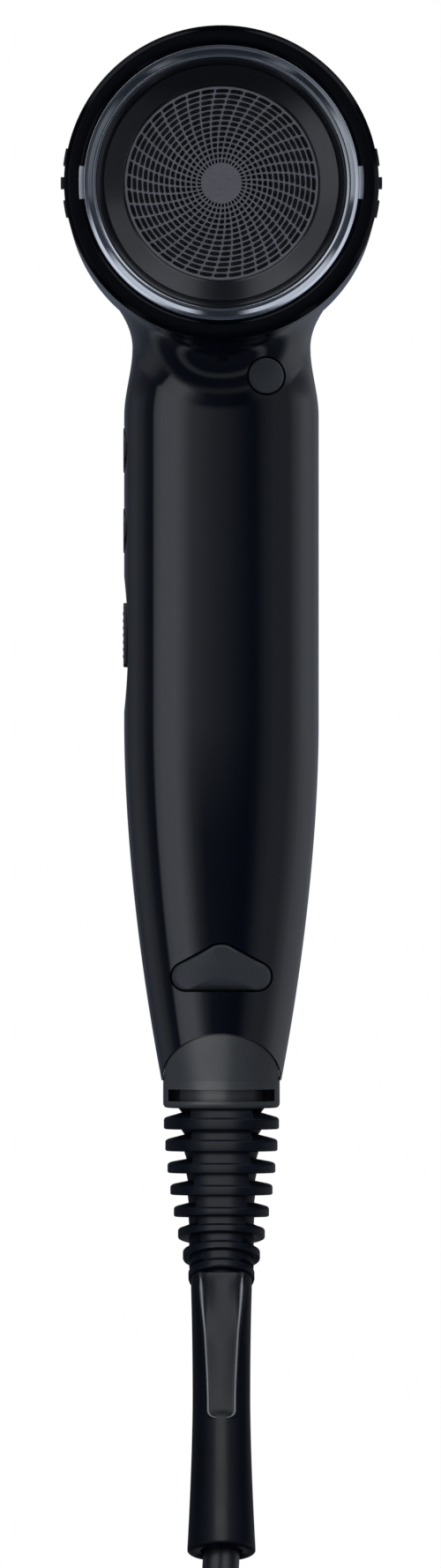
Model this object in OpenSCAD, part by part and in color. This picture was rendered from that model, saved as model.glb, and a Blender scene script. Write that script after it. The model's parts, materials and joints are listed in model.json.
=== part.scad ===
// Hand-held hair dryer: barrel with fan and heater, handle with switches, mains cord.
// Frame: millimetres, +Z up, air flows towards +Y, origin at the centre of the hand grip.

/* [Barrel] */
// Outer radius of the barrel and of the filter cap
barrel_r = 33.7; // [33:0.1:35]
// Height of the barrel's axis above the centre of the grip
barrel_z = 95; // [94:0.5:98]
// Distance of the cap's rear face behind the handle's axis
cap_rear = 50; // [49:0.5:52]
// Length of the filter cap
cap_len = 12; // [11.5:0.1:12.5]
// Where the two housing halves meet, in front of the handle's axis
seam_y = 8; // [7:0.5:9]
// Where the barrel begins to taper towards the outlet
taper_y = 34; // [32:0.5:36]
// Front edge of the barrel
barrel_front = 80; // [79:0.5:82]
// Radius of the barrel at its front edge
mouth_r = 25.8; // [25.6:0.1:26.5]
// Wall of the housing
wall = 2; // [1.8:0.1:2.2]
// Outer radius of the outlet collar, where a nozzle sits
outlet_r = 23.6; // [23.4:0.1:23.7]
// Length of the collar that a nozzle covers
outlet_len = 12; // [10:0.5:14]

/* [Handle] */
// Half of the grip's width
grip_half_w = 21.1; // [20.5:0.1:21.5]
// Half of the grip's depth
grip_half_d = 18.2; // [17.8:0.1:18.8]
// Radius at the handle's lower end
tail_r = 13; // [12.8:0.1:13.2]
// Depth of the handle's lower end below the grip's centre
handle_low = 98; // [97:0.5:99]
// Half of the width at the neck under the barrel
neck_half_w = 19.3; // [19:0.1:20]

/* [Controls] */
// Radius of the cool-shot button
cool_r = 3.85; // [3.7:0.05:4.2]
// Radius of the two round side buttons
side_r = 5; // [4.8:0.1:5]
// Travel of the buttons
press = 1.2; // [1:0.1:1.2]
// Length of the slide switch knob
knob_len = 13.9; // [12:0.1:14]
// Gap around every button
gap = 0.35; // [0.3:0.05:0.4]

/* [Cord] */
// Diameter of the mains cord
cord_d = 8; // [7.5:0.1:8]
// Length of the straight runs of the stored hank
run_len = 144; // [140:1:150]
// Radius of the inner folds of the stored hank
fold_r = 25; // [24:0.5:25]
// Length of the ribbed bend relief along its centre line
relief_len = 38; // [38:0.5:40]
// Length of the smooth sleeve below the ribs
sleeve_len = 63; // [62:0.5:64]

/* [Hidden] */
$fn = 96;

barrel_in = barrel_r - wall;             // inner radius of the barrel
cap_front = -cap_rear + cap_len;         // where the cap meets the barrel
grip_n = 2.3;                            // roundness of the handle's section
taper_top = -21;                         // the handle tapers below this height
neck_low = 46;                           // the neck begins to narrow here
neck_z = barrel_z - barrel_r - 0.6;      // narrowest place, just under the barrel
flare_z = 47;                            // the front and rear faces flare above this
foot_x = 24.8;                           // half width of the saddle on the barrel
foot_y = 31;                             // half length of the saddle on the barrel
sink = 0.35;                             // how far the saddle runs into the barrel
collar_low = 104;                        // lower face of the end collar
arch_top = 88.1;                         // top of the end collar's arched edge
arch_foot = 97.6;                        // where the arch stands on its straight sides
arch_half = 12.6;                        // half width of the arch
collar_r = 12.65;                        // radius of the end collar
cool_pos = [9.7, 54.3];                  // X and Z of the cool-shot button
temp_z = 38.5;                           // heights of the side buttons and the knob
speed_z = 21.1;
knob_z = -1.55;
scoop_z = -3.5;                          // centre, length and depth of the knob's scoop
scoop_len = 29.5;
scoop_depth = 1;
tri_top = -68.4;                         // apex and base of the triangular button
tri_low = -78.4;
tri_half = 10.8;
tri_round = 3;
board_x = -9;                            // switch side of the control board
board_t = 1.6;
cord_r = cord_d / 2;
bend_a = 28;                             // lean of the ribs' lower end
mouth_a = 18;                            // lean of the sleeve's mouth
ring_count = 8;
ring_pitch = 4.75;
bend_from = 19;                          // the relief is straight down to here
hank_y = -18;                            // middle of the hank, and where its runs begin
hank_top = -262;
hank_low = hank_top - run_len;
pinch = 18;                              // how far the tie draws the runs together
screw_pos = [[10.5, 30], [10.5, -38], [-6, -60], [6, -60]];
clamp_x = 7;                             // half the distance between the clamp's screws
clamp_z = -84;
cord_top = -80.8;                          // where the cord's jacket ends inside the handle
cool_back = -10.2;                       // Y of the cool-shot button's flange
side_back = -17.8;                       // X of the side buttons' flanges
ion_z = -75;                             // height and Y of the lower button's flange
ion_back = -7;
flange_t = 1;
spring_len = 3;
stem_r = 1.5;
stem_in = 0.5;                           // how far a stem sits in its switch at rest
magnet_in = 1.5;                         // depth of the magnets' centres below the barrel's surface
switch_w = 6.4;
plug_x = 27;                             // where the plug hangs
plug_y = -40;
plug_top = -300;
plug_low = -352;
pin_r = 2.4;
pin_len = 19;
pin_gap = 19;

// ---------- helpers ----------

function lerp(a, b, t) = a + (b - a) * t;
function smooth(t) = t <= 0 ? 0 : t >= 1 ? 1 : t * t * (3 - 2 * t);
function unit(v) = v / norm(v);
function super(c, n) = sign(c) * pow(abs(c), 2 / n);

// Faces of a closed loft of rows rings, each of n points
function loft_faces(rows, n) = concat(
    [[for (i = [0:n - 1]) i]],
    [for (j = [0:rows - 2], i = [0:n - 1], half = [0, 1])
        let(a = j * n + i, b = j * n + (i + 1) % n)
        half == 0 ? [a, a + n, b + n] : [a, b + n, b]],
    [[for (i = [n - 1:-1:0]) (rows - 1) * n + i]]);

// A round bar of changing radius along points, with flat ends
module sweep(points, radii, sides, side_axis = [1, 0, 0]) {
    last = len(points) - 1;
    rings = [for (k = [0:last])
        let(t = unit(points[min(k + 1, last)] - points[max(k - 1, 0)]),
            u = unit(side_axis - t * (side_axis * t)),
            v = cross(t, u))
        for (i = [0:sides - 1])
            points[k] + radii[k] * (u * cos(360 * i / sides) + v * sin(360 * i / sides))];
    polyhedron(rings, loft_faces(last + 1, sides), convexity = 8);
}

// Smooth curve through hand-placed points, with steps pieces between each pair
function curve_point(p, k, t) =
    let(a = p[max(k - 1, 0)], b = p[k], c = p[k + 1], d = p[min(k + 2, len(p) - 1)])
    b + 0.5 * t * ((c - a) + t * ((2 * a - 5 * b + 4 * c - d) + t * (3 * (b - c) + d - a)));
function curve(p, steps) = concat(
    [for (k = [0:len(p) - 2], s = [0:steps - 1]) curve_point(p, k, s / steps)],
    [p[len(p) - 1]]);

// A coil spring along +Z from the origin
module spring(r, wire, turns, length) {
    per_turn = 10;
    rings = turns * per_turn;
    sweep([for (k = [0:rings])
            let(a = 360 * k / per_turn)
            [r * cos(a), r * sin(a), lerp(wire, length - wire, k / rings)]],
        [for (k = [0:rings]) wire], 6, [0.01, 0, 1]);
}

module ring(r_out, r_in, h) {
    difference() {
        cylinder(r = r_out, h = h);
        translate([0, 0, -1]) cylinder(r = r_in, h = h + 2);
    }
}

// A disc with a bevelled or rounded-looking top edge
module cap_disc(r, h, edge) {
    rotate_extrude()
        polygon([[0, 0], [r, 0], [r, h - edge], [r - 0.4 * edge, h - 0.3 * edge],
            [r - edge, h], [0, h]]);
}

// Puts a shape drawn up the Z axis on the barrel's axis, its foot at y, pointing to the outlet
module on_barrel(y = 0) {
    translate([0, y, barrel_z]) rotate([-90, 0, 0]) children();
}

// Puts a shape drawn up the Z axis on the left side, pointing out of the handle
module on_left(x, z) {
    translate([x, 0, z]) rotate([0, -90, 0]) children();
}

// Puts a shape drawn up the Z axis on the rear face, pointing out of the handle
module on_rear(x, y, z) {
    translate([x, y, z]) rotate([90, 0, 0]) children();
}

// A run of wire through corner points, each corner eased
module wire_run(points, r) {
    points_eased = curve(points, 3);
    sweep(points_eased, [for (p = points_eased) r], 8);
}

// ---------- outer form of the handle and the barrel ----------

function taper(z) = z >= taper_top ? 0 : pow((taper_top - z) / (taper_top + handle_low), 1.8);
function grip_w(z) = grip_half_w - (grip_half_w - tail_r) * taper(z)
    - (grip_half_w - neck_half_w) * smooth((z - neck_low) / (neck_z - neck_low));
function grip_d(z) = grip_half_d - (grip_half_d - tail_r) * taper(z);
function section_n(z) = lerp(grip_n, 2, taper(z));

// How far from the handle's middle plane a screw boss reaches, just into the wall
function boss_end(z) = 0.88 * grip_d(z);

// Height where the saddle begins, round the handle
function saddle_z(a) = lerp(neck_z, flare_z, pow(sin(a), 2));
function grip_point(a, z, inset) =
    let(n = section_n(z))
    [(grip_w(z) - inset) * super(cos(a), n), (grip_d(z) - inset) * super(sin(a), n), z];

// Where the saddle meets the barrel
function foot_point(a, inset) =
    let(x = (foot_x - inset) * super(cos(a), grip_n),
        y = (foot_y - inset) * super(sin(a), grip_n),
        r = barrel_r - sink - inset)
    [x, y, barrel_z - sqrt(r * r - x * x)];

// The saddle leaves the handle upwards and runs out along the barrel
function saddle_point(a, t, inset) =
    let(p = grip_point(a, saddle_z(a), inset), q = foot_point(a, inset),
        s = pow(sin(a), 2),
        out = unit([q.x - p.x, q.y - p.y, 0]),
        normal = unit([q.x, 0, q.z - barrel_z]),
        away = unit(out - normal * (out * normal)),
        up_pull = [0, 0, lerp(12, 23, s)],
        out_pull = away * lerp(15, 21, s),
        t2 = t * t, t3 = t * t * t)
    (2 * t3 - 3 * t2 + 1) * p + (t3 - 2 * t2 + t) * up_pull
        + (3 * t2 - 2 * t3) * q + (t3 - t2) * out_pull;

module handle_form(inset, sides, low, heights, saddle_steps) {
    top = heights[len(heights) - 1];
    rows = concat(
        [for (z = concat([low], heights)) [for (i = [0:sides - 1]) grip_point(360 * i / sides, z, inset)]],
        [for (t = [0.5, 1]) [for (i = [0:sides - 1])
            let(a = 360 * i / sides) grip_point(a, lerp(top, saddle_z(a), t), inset)]],
        [for (k = [1:saddle_steps]) [for (i = [0:sides - 1])
            saddle_point(360 * i / sides, k / saddle_steps, inset)]],
        [[for (i = [0:sides - 1])
            let(q = foot_point(360 * i / sides, inset)) [0.7 * q.x, 0.9 * q.y, barrel_z - 20]]]);
    polyhedron([for (row = rows, p = row) p], loft_faces(len(rows), sides), convexity = 6);
}

module handle_outer(inset = 0) {
    handle_form(inset, 48, -handle_low, [-90, -80, -70, -60, -48, -35, -21, 42], 7);
}

module handle_inner() {
    handle_form(wall, 32, -handle_low - 1, [-80, -60, -40, -21, 42], 4);
}

function barrel_edge(y) = barrel_r - (barrel_r - mouth_r)
    * pow(max(0, (y - taper_y) / (barrel_front - taper_y)), 2);

// Half profile of the barrel from y0 to y1, inset by the wall
module barrel_form(y0, y1, inset) {
    steps = 14;
    bend = [for (k = [0:steps]) let(y = lerp(taper_y, barrel_front, k / steps))
        if (y > y0 && y < y1) [barrel_edge(y) - inset, y - y0]];
    on_barrel(y0) rotate_extrude()
        polygon(concat([[0, 0], [barrel_edge(y0) - inset, 0]], bend,
            [[barrel_edge(min(y1, barrel_front)) - inset, y1 - y0], [0, y1 - y0]]));
}

// Everything under the arched edge of the end collar: a half ellipse on straight sides
module arch_form(grow = 0) {
    steps = 24;
    half = arch_half + grow;
    rise = arch_foot - arch_top + grow;
    edge = [for (k = [0:steps]) let(a = 180 * k / steps) [half * cos(a), -arch_foot + rise * sin(a)]];
    rotate([90, 0, 0])
        linear_extrude(height = 60, center = true)
            polygon(concat([[-half, -handle_low - 10], [half, -handle_low - 10]], edge));
}

// Rounded triangle of the lower button, apex up
module triangle_outline(grow) {
    base = tri_low + tri_round;
    side = tri_half - tri_round;
    hull() {
        translate([-side, base]) circle(r = tri_round + grow, $fn = 32);
        translate([side, base]) circle(r = tri_round + grow, $fn = 32);
        translate([0, tri_top - 4.5]) circle(r = 4.5 + grow, $fn = 32);
    }
}

module triangle_bar(grow, y0, y1) {
    translate([0, y1, 0]) rotate([90, 0, 0])
        linear_extrude(height = y1 - y0) triangle_outline(grow);
}

// ---------- housing ----------

module housing_solid(y0, y1) {
    difference() {
        union() {
            handle_outer();
            barrel_form(cap_front, barrel_front, 0);
        }
        handle_inner();
        barrel_form(cap_front - 1, barrel_front - 3, wall);
        on_barrel(barrel_front - 4) cylinder(r = outlet_r + 0.1, h = 6);
        arch_form(gap);
        translate([-60, y1, -200]) cube([120, 200, 400]);
        translate([-60, y0 - 200, -200]) cube([120, 200, 400]);
    }
}

function scoop_radius() = (scoop_len * scoop_len / 4 + scoop_depth * scoop_depth) / (2 * scoop_depth);

// The large drum that cuts the knob's scoop, lying across the handle
module scoop_drum() {
    translate([-grip_half_w - scoop_radius() + scoop_depth, 0, scoop_z])
        rotate([90, 0, 0]) cylinder(r = scoop_radius(), h = 30, center = true);
}

module rear_housing() color([0.07, 0.08, 0.1]) {
    difference() {
        union() {
            housing_solid(cap_front, seam_y);
            on_barrel(cap_front) ring(barrel_in + 0.2, barrel_in - 0.7, 3);
            translate([-grip_half_w + wall - 0.1, -7.5, scoop_z - 17]) cube([1.5, 15, 34]);
            for (p = screw_pos)
                on_rear(p[0], seam_y, p[1]) cylinder(r = 3, h = seam_y + boss_end(p[1]));
            for (side = [-1, 1])
                on_rear(side * clamp_x, 1.4, clamp_z) cylinder(r = 3, h = 1.4 + boss_end(clamp_z));
        }
        for (p = screw_pos)
            on_rear(p[0], seam_y + 1, p[1]) cylinder(r = 1.3, h = 14);
        for (side = [-1, 1])
            on_rear(side * clamp_x, 2, clamp_z) cylinder(r = 1.3, h = 9);
        for (a = [45:90:315])
            on_barrel(cap_front - 1) rotate(a) translate([barrel_r - magnet_in, 0, 0]) cylinder(r = 1, h = 3);
        on_rear(cool_pos[0], -11, cool_pos[1]) cylinder(r = cool_r + gap, h = 20);
        triangle_bar(gap, -30, ion_back - 1);
        for (z = [temp_z, speed_z])
            on_left(-15, z) cylinder(r = side_r + gap, h = 10);
        scoop_drum();
        translate([-grip_half_w - 2, -1.7, knob_z - 4 - 2]) cube([8, 3.4, 8 + 2]);
    }
}

module front_housing() color([0.07, 0.08, 0.1]) {
    difference() {
        union() {
            housing_solid(seam_y + 0.02, barrel_front);
            on_barrel(seam_y - 4) ring(barrel_in - 0.1, barrel_in - 1.3, 9);
            on_barrel(seam_y + 1) ring(barrel_in + 0.2, barrel_in - 1, 4);
            for (p = screw_pos)
                on_rear(p[0], boss_end(p[1]), p[1])
                    cylinder(r = 4, h = boss_end(p[1]) - seam_y - 0.1);
        }
        for (p = screw_pos) {
            on_rear(p[0], 40, p[1]) cylinder(r = 3, h = 28);
            on_rear(p[0], 40, p[1]) cylinder(r = 1.5, h = 40);
        }
    }
}

// A pan-head screw pointing up the Z axis, its head below the origin, with a cross recess
module screw_shape(head_r, shank_r, length) {
    difference() {
        union() {
            translate([0, 0, -1.6]) cylinder(r1 = head_r - 0.5, r2 = head_r, h = 1.6, $fn = 32);
            cylinder(r = shank_r, h = length, $fn = 24);
        }
        translate([-head_r * 0.6, -0.3, -2]) cube([head_r * 1.2, 0.6, 1.1]);
        translate([-0.3, -head_r * 0.6, -2]) cube([0.6, head_r * 1.2, 1.1]);
    }
}

module housing_screws() color([0.6, 0.6, 0.62]) {
    for (p = screw_pos)
        on_rear(p[0], 12, p[1]) screw_shape(2.6, 1.25, 12);
}

// ---------- intake and filter cap ----------

// Spoked guard that keeps fingers off the impeller when the cap is off
module intake_guard() color([0.12, 0.12, 0.13]) {
    on_barrel(-31) {
        ring(barrel_in - 0.1, barrel_in - 2.2, 2.5);
        for (r = [12, 21]) ring(r + 0.6, r - 0.6, 2);
        cylinder(r = 5, h = 2);
        for (a = [0:45:315])
            rotate(a) translate([4, -0.6, 0.2]) cube([barrel_in - 5.5, 1.2, 1.6]);
    }
}

module filter_cap() color([0.05, 0.05, 0.06]) {
    spigot_r = barrel_in - 1.1;
    on_barrel(-cap_rear) difference() {
        rotate_extrude()
            polygon([[30.4, 0], [barrel_r - 1, 0], [barrel_r, 1], [barrel_r, cap_len - 0.3],
                [spigot_r, cap_len - 0.3], [spigot_r, cap_len + 5.5], [29.6, cap_len + 5.5],
                [29.6, 11], [25, 11], [25, 9.6], [29.7, 9.6], [29.7, 0.7]]);
        for (a = [0, 180])
            rotate(a) translate([29, -3.6, -1]) cube([1.8, 7.2, 4]);
        for (a = [45:90:315])
            rotate(a) translate([barrel_r - magnet_in, 0, cap_len - 2.3]) cylinder(r = 1, h = 3);
        for (a = [0, 180])
            rotate(a - 12.7) pad_sector(25.4, barrel_r - 0.5, barrel_r + 1, 1.9, 10.1);
    }
}

// A sector of a ring about the Z axis, starting on +X
module pad_sector(angle, r_in, r_out, z0, z1) {
    rotate_extrude(angle = angle)
        translate([r_in, z0]) square([r_out - r_in, z1 - z0]);
}

// Finger pads on the cap's sides, with a raised rib in the middle
module cap_pads() color([0.16, 0.16, 0.17]) {
    on_barrel(-cap_rear)
        for (a = [0, 180]) {
            rotate(a - 12.5) pad_sector(25, barrel_r - 0.5, barrel_r + 0.05, 2, 10);
            for (b = [-9.45, 9.45])
                rotate(a + b - 3.05) pad_sector(6.1, barrel_r - 0.2, barrel_r + 0.4, 2, 10);
            rotate(a - 2.05) pad_sector(4.1, barrel_r - 0.2, barrel_r + 0.6, 2.6, 9.4);
        }
}

module retaining_ring() color([0.7, 0.7, 0.72]) {
    on_barrel(-cap_rear) {
        rotate_extrude()
            polygon([[29.6, 9.6], [28.5, 9.6], [28.5, 3.2], [26.9, 3.2], [26.9, 1.6], [27.5, 1.4],
                [27.6, 2.6], [28.4, 2.6], [28.4, 0.9], [29.4, 0.6], [29.6, 0.9]]);
        intersection() {
            for (a = [0, 180]) rotate(a) translate([29, -3.5, 0.9]) cube([3, 7, 2]);
            cylinder(r = 30.7, h = 10);
        }
    }
}

module filter_dish() color([0.1, 0.1, 0.11]) {
    on_barrel(-cap_rear) rotate_extrude()
        polygon([[26.8, 9.6], [26.8, 1.9], [26.5, 1.8], [25.7, 2.6], [25.2, 3.9],
            [20.9, 5.6], [20.9, 6.8], [20.2, 6.8], [20.2, 7.6], [25.6, 5.6], [26.1, 5.4], [26.1, 9.6]]);
}

// Etched disc: radial slots in rows round a plain hub
module filter_grille() color([0.4, 0.39, 0.39]) {
    rows = 6;
    slots = 20;
    pitch = 2.5;
    on_barrel(-cap_rear + 6.1) difference() {
        cylinder(r = 20.85, h = 0.7);
        for (row = [0:rows - 1], k = [0:slots - 1])
            rotate(360 * (k + 0.5 * (row % 2)) / slots)
                translate([5.4 + pitch * row, -0.5 - 0.28 * row, -1])
                    cube([1.7, 1 + 0.56 * row, 3]);
    }
}

module filter_gauze() color([0.5, 0.5, 0.5]) {
    on_barrel(-cap_rear + 9.2) cylinder(r = 25.9, h = 0.4);
}

module magnets(y) {
    for (a = [45:90:315])
        on_barrel(y) rotate(a) translate([barrel_r - magnet_in, 0, 0]) cylinder(r = 0.98, h = 1.95);
}
module cap_magnets() color([0.75, 0.75, 0.76]) { magnets(-cap_rear + cap_len - 2.28); }
module housing_magnets() color([0.75, 0.75, 0.76]) { magnets(cap_front + 0.02); }

// ---------- fan and motor ----------

motor_y = -10;                           // rear face of the motor can
can_r = 13.4;
can_len = 20.5;

// Shroud, guide vanes and the cup that holds the motor
module fan_duct() color([0.2, 0.2, 0.21]) {
    vanes = 9;
    on_barrel(-27.5) ring(barrel_in - 0.2, barrel_in - 2.7, 31);
    on_barrel(-11) ring(can_r + 1.2, can_r + 0.1, 22);
    on_barrel(-9) intersection() {
        ring(barrel_in - 2.6, can_r + 1.1, 11);
        for (k = [0:vanes - 1])
            rotate(360 * k / vanes) translate([0, 0, 5.5]) rotate([24, 0, 0])
                translate([0, -0.7, -7]) cube([34, 1.4, 14]);
    }
}

module motor_can() color([0.62, 0.63, 0.65]) {
    on_barrel(motor_y) rotate_extrude()
        polygon([[4.02, 0], [can_r, 0], [can_r, can_len], [can_r - 1, can_len], [can_r - 1, 1.2],
            [6, 1.2], [6, 3.2], [4.02, 3.2]]);
}

module motor_end_cap() color([0.2, 0.2, 0.2]) {
    on_barrel(motor_y) rotate_extrude()
        polygon([[4.02, can_len - 1.6], [6, can_len - 1.6], [6, can_len], [can_r, can_len],
            [can_r, can_len + 1.5], [4.02, can_len + 1.5]]);
}

module bearing(y) {
    on_barrel(y) rotate_extrude()
        polygon([[1.55, 0], [2.2, 0], [2.4, 0.25], [3.3, 0.25], [3.5, 0], [4, 0], [4, 3], [3.5, 3],
            [3.3, 2.75], [2.4, 2.75], [2.2, 3], [1.55, 3]]);
}
module rear_bearing() color([0.8, 0.8, 0.82]) { bearing(motor_y); }
module front_bearing() color([0.8, 0.8, 0.82]) { bearing(motor_y + can_len - 1.5); }

module stator_core() color([0.45, 0.46, 0.48]) {
    on_barrel(motor_y + 5) {
        ring(can_r - 1.05, 10.6, 11);
        for (a = [0:60:300])
            rotate(a) translate([7.2, -1.2, 0]) cube([4, 2.4, 11]);
    }
}

module stator_windings() color([0.75, 0.42, 0.2]) {
    on_barrel(motor_y + 4)
        for (a = [0:60:300])
            rotate(a) difference() {
                translate([7.7, -2.7, 0]) cube([2.6, 5.4, 13]);
                translate([7, -1.25, 0.95]) cube([4, 2.5, 11.1]);
            }
}

module rotor_magnet() color([0.3, 0.3, 0.32]) { on_barrel(motor_y + 5) ring(6.6, 1.51, 11); }

module motor_shaft() color([0.8, 0.8, 0.82]) {
    on_barrel(motor_y - 16.5) cylinder(r = 1.5, h = 39);
}

module impeller() color([0.25, 0.25, 0.27]) {
    blades = 11;
    on_barrel(-27) difference() {
        union() {
            rotate_extrude()
                polygon([[0, 0], [3, 0], [6, 1], [8, 3], [9, 6], [9, 13], [0, 13]]);
            translate([0, 0, 1]) intersection() {
                ring(barrel_in - 3.4, 8, 12);
                for (k = [0:blades - 1])
                    rotate(360 * k / blades) translate([0, 0, 6.4]) rotate([40, 0, 0])
                        translate([0, -7, -0.6]) cube([34, 14, 1.2]);
            }
        }
        translate([0, 0, 0.5]) cylinder(r = 1.51, h = 14);
    }
}

// ---------- heater and outlet ----------

heater_y = 17;
heater_len = 55;
sleeve_r = 23.2;
coil_r = 20.2;
coils = 7;
grille_y = barrel_front + 1;             // rear face of the outlet grille

module board_cross(first) {
    half = heater_len / 2;
    rotate(first ? 0 : 90) difference() {
        translate([-sleeve_r + 0.6, -0.4, 0]) cube([2 * sleeve_r - 1.2, 0.8, heater_len]);
        translate([-0.42, -1, first ? half : -1]) cube([0.84, 2, half + 1]);
    }
}

module heater_boards() color([0.75, 0.68, 0.52]) {
    on_barrel(heater_y) difference() {
        union() {
            board_cross(true);
            board_cross(false);
        }
        for (k = [0:coils - 1])
            translate([0, 0, 5 + 7.5 * k - 1.6]) ring(sleeve_r + 1, coil_r - 1.5, 3.2);
    }
}

module heating_coils() color([0.65, 0.62, 0.6]) {
    for (k = [0:coils - 1])
        on_barrel(heater_y + 5 + 7.5 * k) rotate_extrude() translate([coil_r, 0]) circle(r = 1.4, $fn = 24);
}

module heater_sleeve() color([0.8, 0.74, 0.58]) {
    on_barrel(heater_y - 1) ring(sleeve_r, sleeve_r - 0.5, heater_len + 2.5);
}

module thermostat() color([0.85, 0.85, 0.8]) {
    on_barrel(heater_y + 40) {
        translate([4, 0.4, 0]) cube([8, 3.2, 7]);
        translate([6, 3.6, 1.5]) cube([4, 0.8, 4]);
    }
}

module thermal_fuse() color([0.85, 0.8, 0.7]) {
    on_barrel(heater_y + 44) translate([-13, -1.9, 0]) rotate([0, 90, 0]) cylinder(r = 1.4, h = 9);
}

// The collar's neck inside the barrel is slimmer than the seat for a nozzle
module outlet_collar() color([0.1, 0.1, 0.11]) {
    neck_r = outlet_r - 0.4;
    on_barrel(barrel_front - 6) rotate_extrude()
        polygon([[22, 0], [neck_r, 0], [neck_r, 0.4], [outlet_r + 0.8, 0.4],
            [outlet_r + 0.8, 2.8], [neck_r, 2.8], [neck_r, 6.3], [outlet_r, 6.3],
            [outlet_r, 6 + outlet_len - 0.8], [outlet_r - 0.8, 6 + outlet_len],
            [22.6, 6 + outlet_len], [22, 5.4 + outlet_len]]);
}

module outlet_grille() color([0.15, 0.15, 0.16]) {
    on_barrel(grille_y) {
        ring(21.95, 20.6, 3);
        for (r = [6.5, 10.2, 13.9, 17.6]) ring(r + 0.5, r - 0.5, 2);
        cylinder(r = 3, h = 2);
        for (a = [0:60:300])
            rotate(a) translate([2.5, -0.6, 0.2]) cube([18.6, 1.2, 1.6]);
    }
}

module ion_generator() color([0.15, 0.2, 0.35]) {
    on_barrel(heater_y + 7) translate([-7, 24.2, 0]) cube([14, 4, 22]);
}

module ion_emitter() color([0.8, 0.7, 0.4]) {
    on_barrel(grille_y - 6) {
        cylinder(r = 1.2, h = 6);
        translate([0, 0, -2.5]) cylinder(r = 0.5, h = 3);
    }
}

// ---------- buttons and switches ----------

// A switch body with its mouth up the Z axis at the origin, and a bore for the button's stem
module switch_body(depth) {
    bore = stem_in + press + 1.5;
    translate([0, 0, -depth]) difference() {
        translate([-switch_w / 2, -switch_w / 2, 0]) cube([switch_w, switch_w, depth]);
        translate([0, 0, depth - bore]) cylinder(r = stem_r + 0.4, h = bore + 1);
    }
}

// The flange that holds a button in, its outer face at the origin, and the stem below it
module button_foot(r) {
    translate([0, 0, -flange_t]) cylinder(r = r, h = flange_t);
    translate([0, 0, -flange_t - spring_len - stem_in])
        cylinder(r = stem_r, h = spring_len + stem_in + 0.5);
}

module return_spring() { spring(2.5, 0.25, 3, spring_len); }

module cool_shot_button() color([0.22, 0.23, 0.24]) {
    intersection() {
        on_rear(cool_pos[0], cool_back, cool_pos[1]) cylinder(r = cool_r, h = 20);
        handle_outer();
    }
    on_rear(cool_pos[0], cool_back, cool_pos[1]) button_foot(cool_r + 1);
}
module cool_shot_spring() color([0.8, 0.8, 0.8]) {
    on_rear(cool_pos[0], cool_back + flange_t + spring_len, cool_pos[1]) return_spring();
}
module cool_shot_switch() color([0.15, 0.35, 0.2]) {
    on_rear(cool_pos[0], cool_back + flange_t + spring_len, cool_pos[1]) {
        switch_body(4);
        translate([-4.5, -4.5, -5.2]) cube([9, 9, 1.2]);
    }
}

module side_button(z) {
    on_left(side_back, z) cap_disc(side_r, grip_half_w + 0.15 + side_back, 0.5);
    on_left(side_back, z) button_foot(side_r + 1);
}
module side_spring(z) { on_left(side_back + flange_t + spring_len, z) return_spring(); }
module temperature_button() color([0.05, 0.05, 0.05]) { side_button(temp_z); }
module temperature_spring() color([0.8, 0.8, 0.8]) { side_spring(temp_z); }
module speed_button() color([0.05, 0.05, 0.05]) { side_button(speed_z); }
module speed_spring() color([0.8, 0.8, 0.8]) { side_spring(speed_z); }
module side_switches() color([0.1, 0.1, 0.1]) {
    face = side_back + flange_t + spring_len;
    for (z = [temp_z, speed_z]) on_left(face, z) switch_body(board_x - face);
}

module ion_button() color([0.22, 0.23, 0.24]) {
    intersection() {
        triangle_bar(0, -30, ion_back);
        handle_outer();
    }
    on_rear(0, ion_back, ion_z) button_foot(7);
}
module ion_spring() color([0.8, 0.8, 0.8]) {
    on_rear(0, ion_back + flange_t + spring_len, ion_z) return_spring();
}
module ion_switch() color([0.15, 0.35, 0.2]) {
    on_rear(0, ion_back + flange_t + spring_len, ion_z) {
        switch_body(4);
        translate([-5, -2.4, -5.2]) cube([10, 6.4, 1.2]);
    }
}

module slider_knob() color([0.04, 0.04, 0.04]) {
    outer = -grip_half_w - 0.25;
    // the plate's back follows the scoop over the knob's travel
    translate([0, 4.5, knob_z]) rotate([90, 0, 0]) linear_extrude(height = 9)
        polygon(concat([[outer, -knob_len / 2]],
            [for (t = [-1:0.25:1]) let(z = t * knob_len / 2)
                [scoop_depth - grip_half_w - 0.07 - pow(abs(z) + 2, 2) / (2 * scoop_radius()), z]],
            [[outer, knob_len / 2]]));
    translate([outer + 0.8, -1.2, knob_z - 1.5]) cube([8.8, 2.4, 3]);
}

module slide_switch() color([0.12, 0.12, 0.13]) {
    difference() {
        translate([-14, -4, knob_z - 12]) cube([14 + board_x, 8, 20]);
        translate([-15, -1.7, knob_z - 6]) cube([4, 3.4, 8]);
    }
}

module control_board() color([0.1, 0.35, 0.2]) {
    translate([board_x, -9, -24]) cube([board_t, 16, 70]);
}

// ---------- wiring and cord inside the handle ----------

module supply_wires() color([0.45, 0.25, 0.15]) {
    for (side = [-1, 1])
        wire_run([[1.5 * side, 2.5, cord_top + 0.2], [1.5 * side, 2.5, cord_top + 1.3],
            [1.5 * side, 5.4, -76.5], [1.5 * side, 5.4, -36], [-6.2, 3 + 2.5 * side, -20]], 1.1);
}

module heater_wires() color([0.7, 0.7, 0.7]) {
    for (side = [-1, 1])
        wire_run([[-6.2, 3 + 2 * side, 40], [2 * side - 2, 12.8, 56], [2 * side, 14.7, 63],
            [2 * side, 14.7, 80], [2 * side, 15.7, 85]], 1.1);
}

module inner_cord() color([0.06, 0.06, 0.06]) {
    translate([0, 0, -collar_low]) cylinder(r = cord_r, h = collar_low + cord_top, $fn = 48);
}

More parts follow.
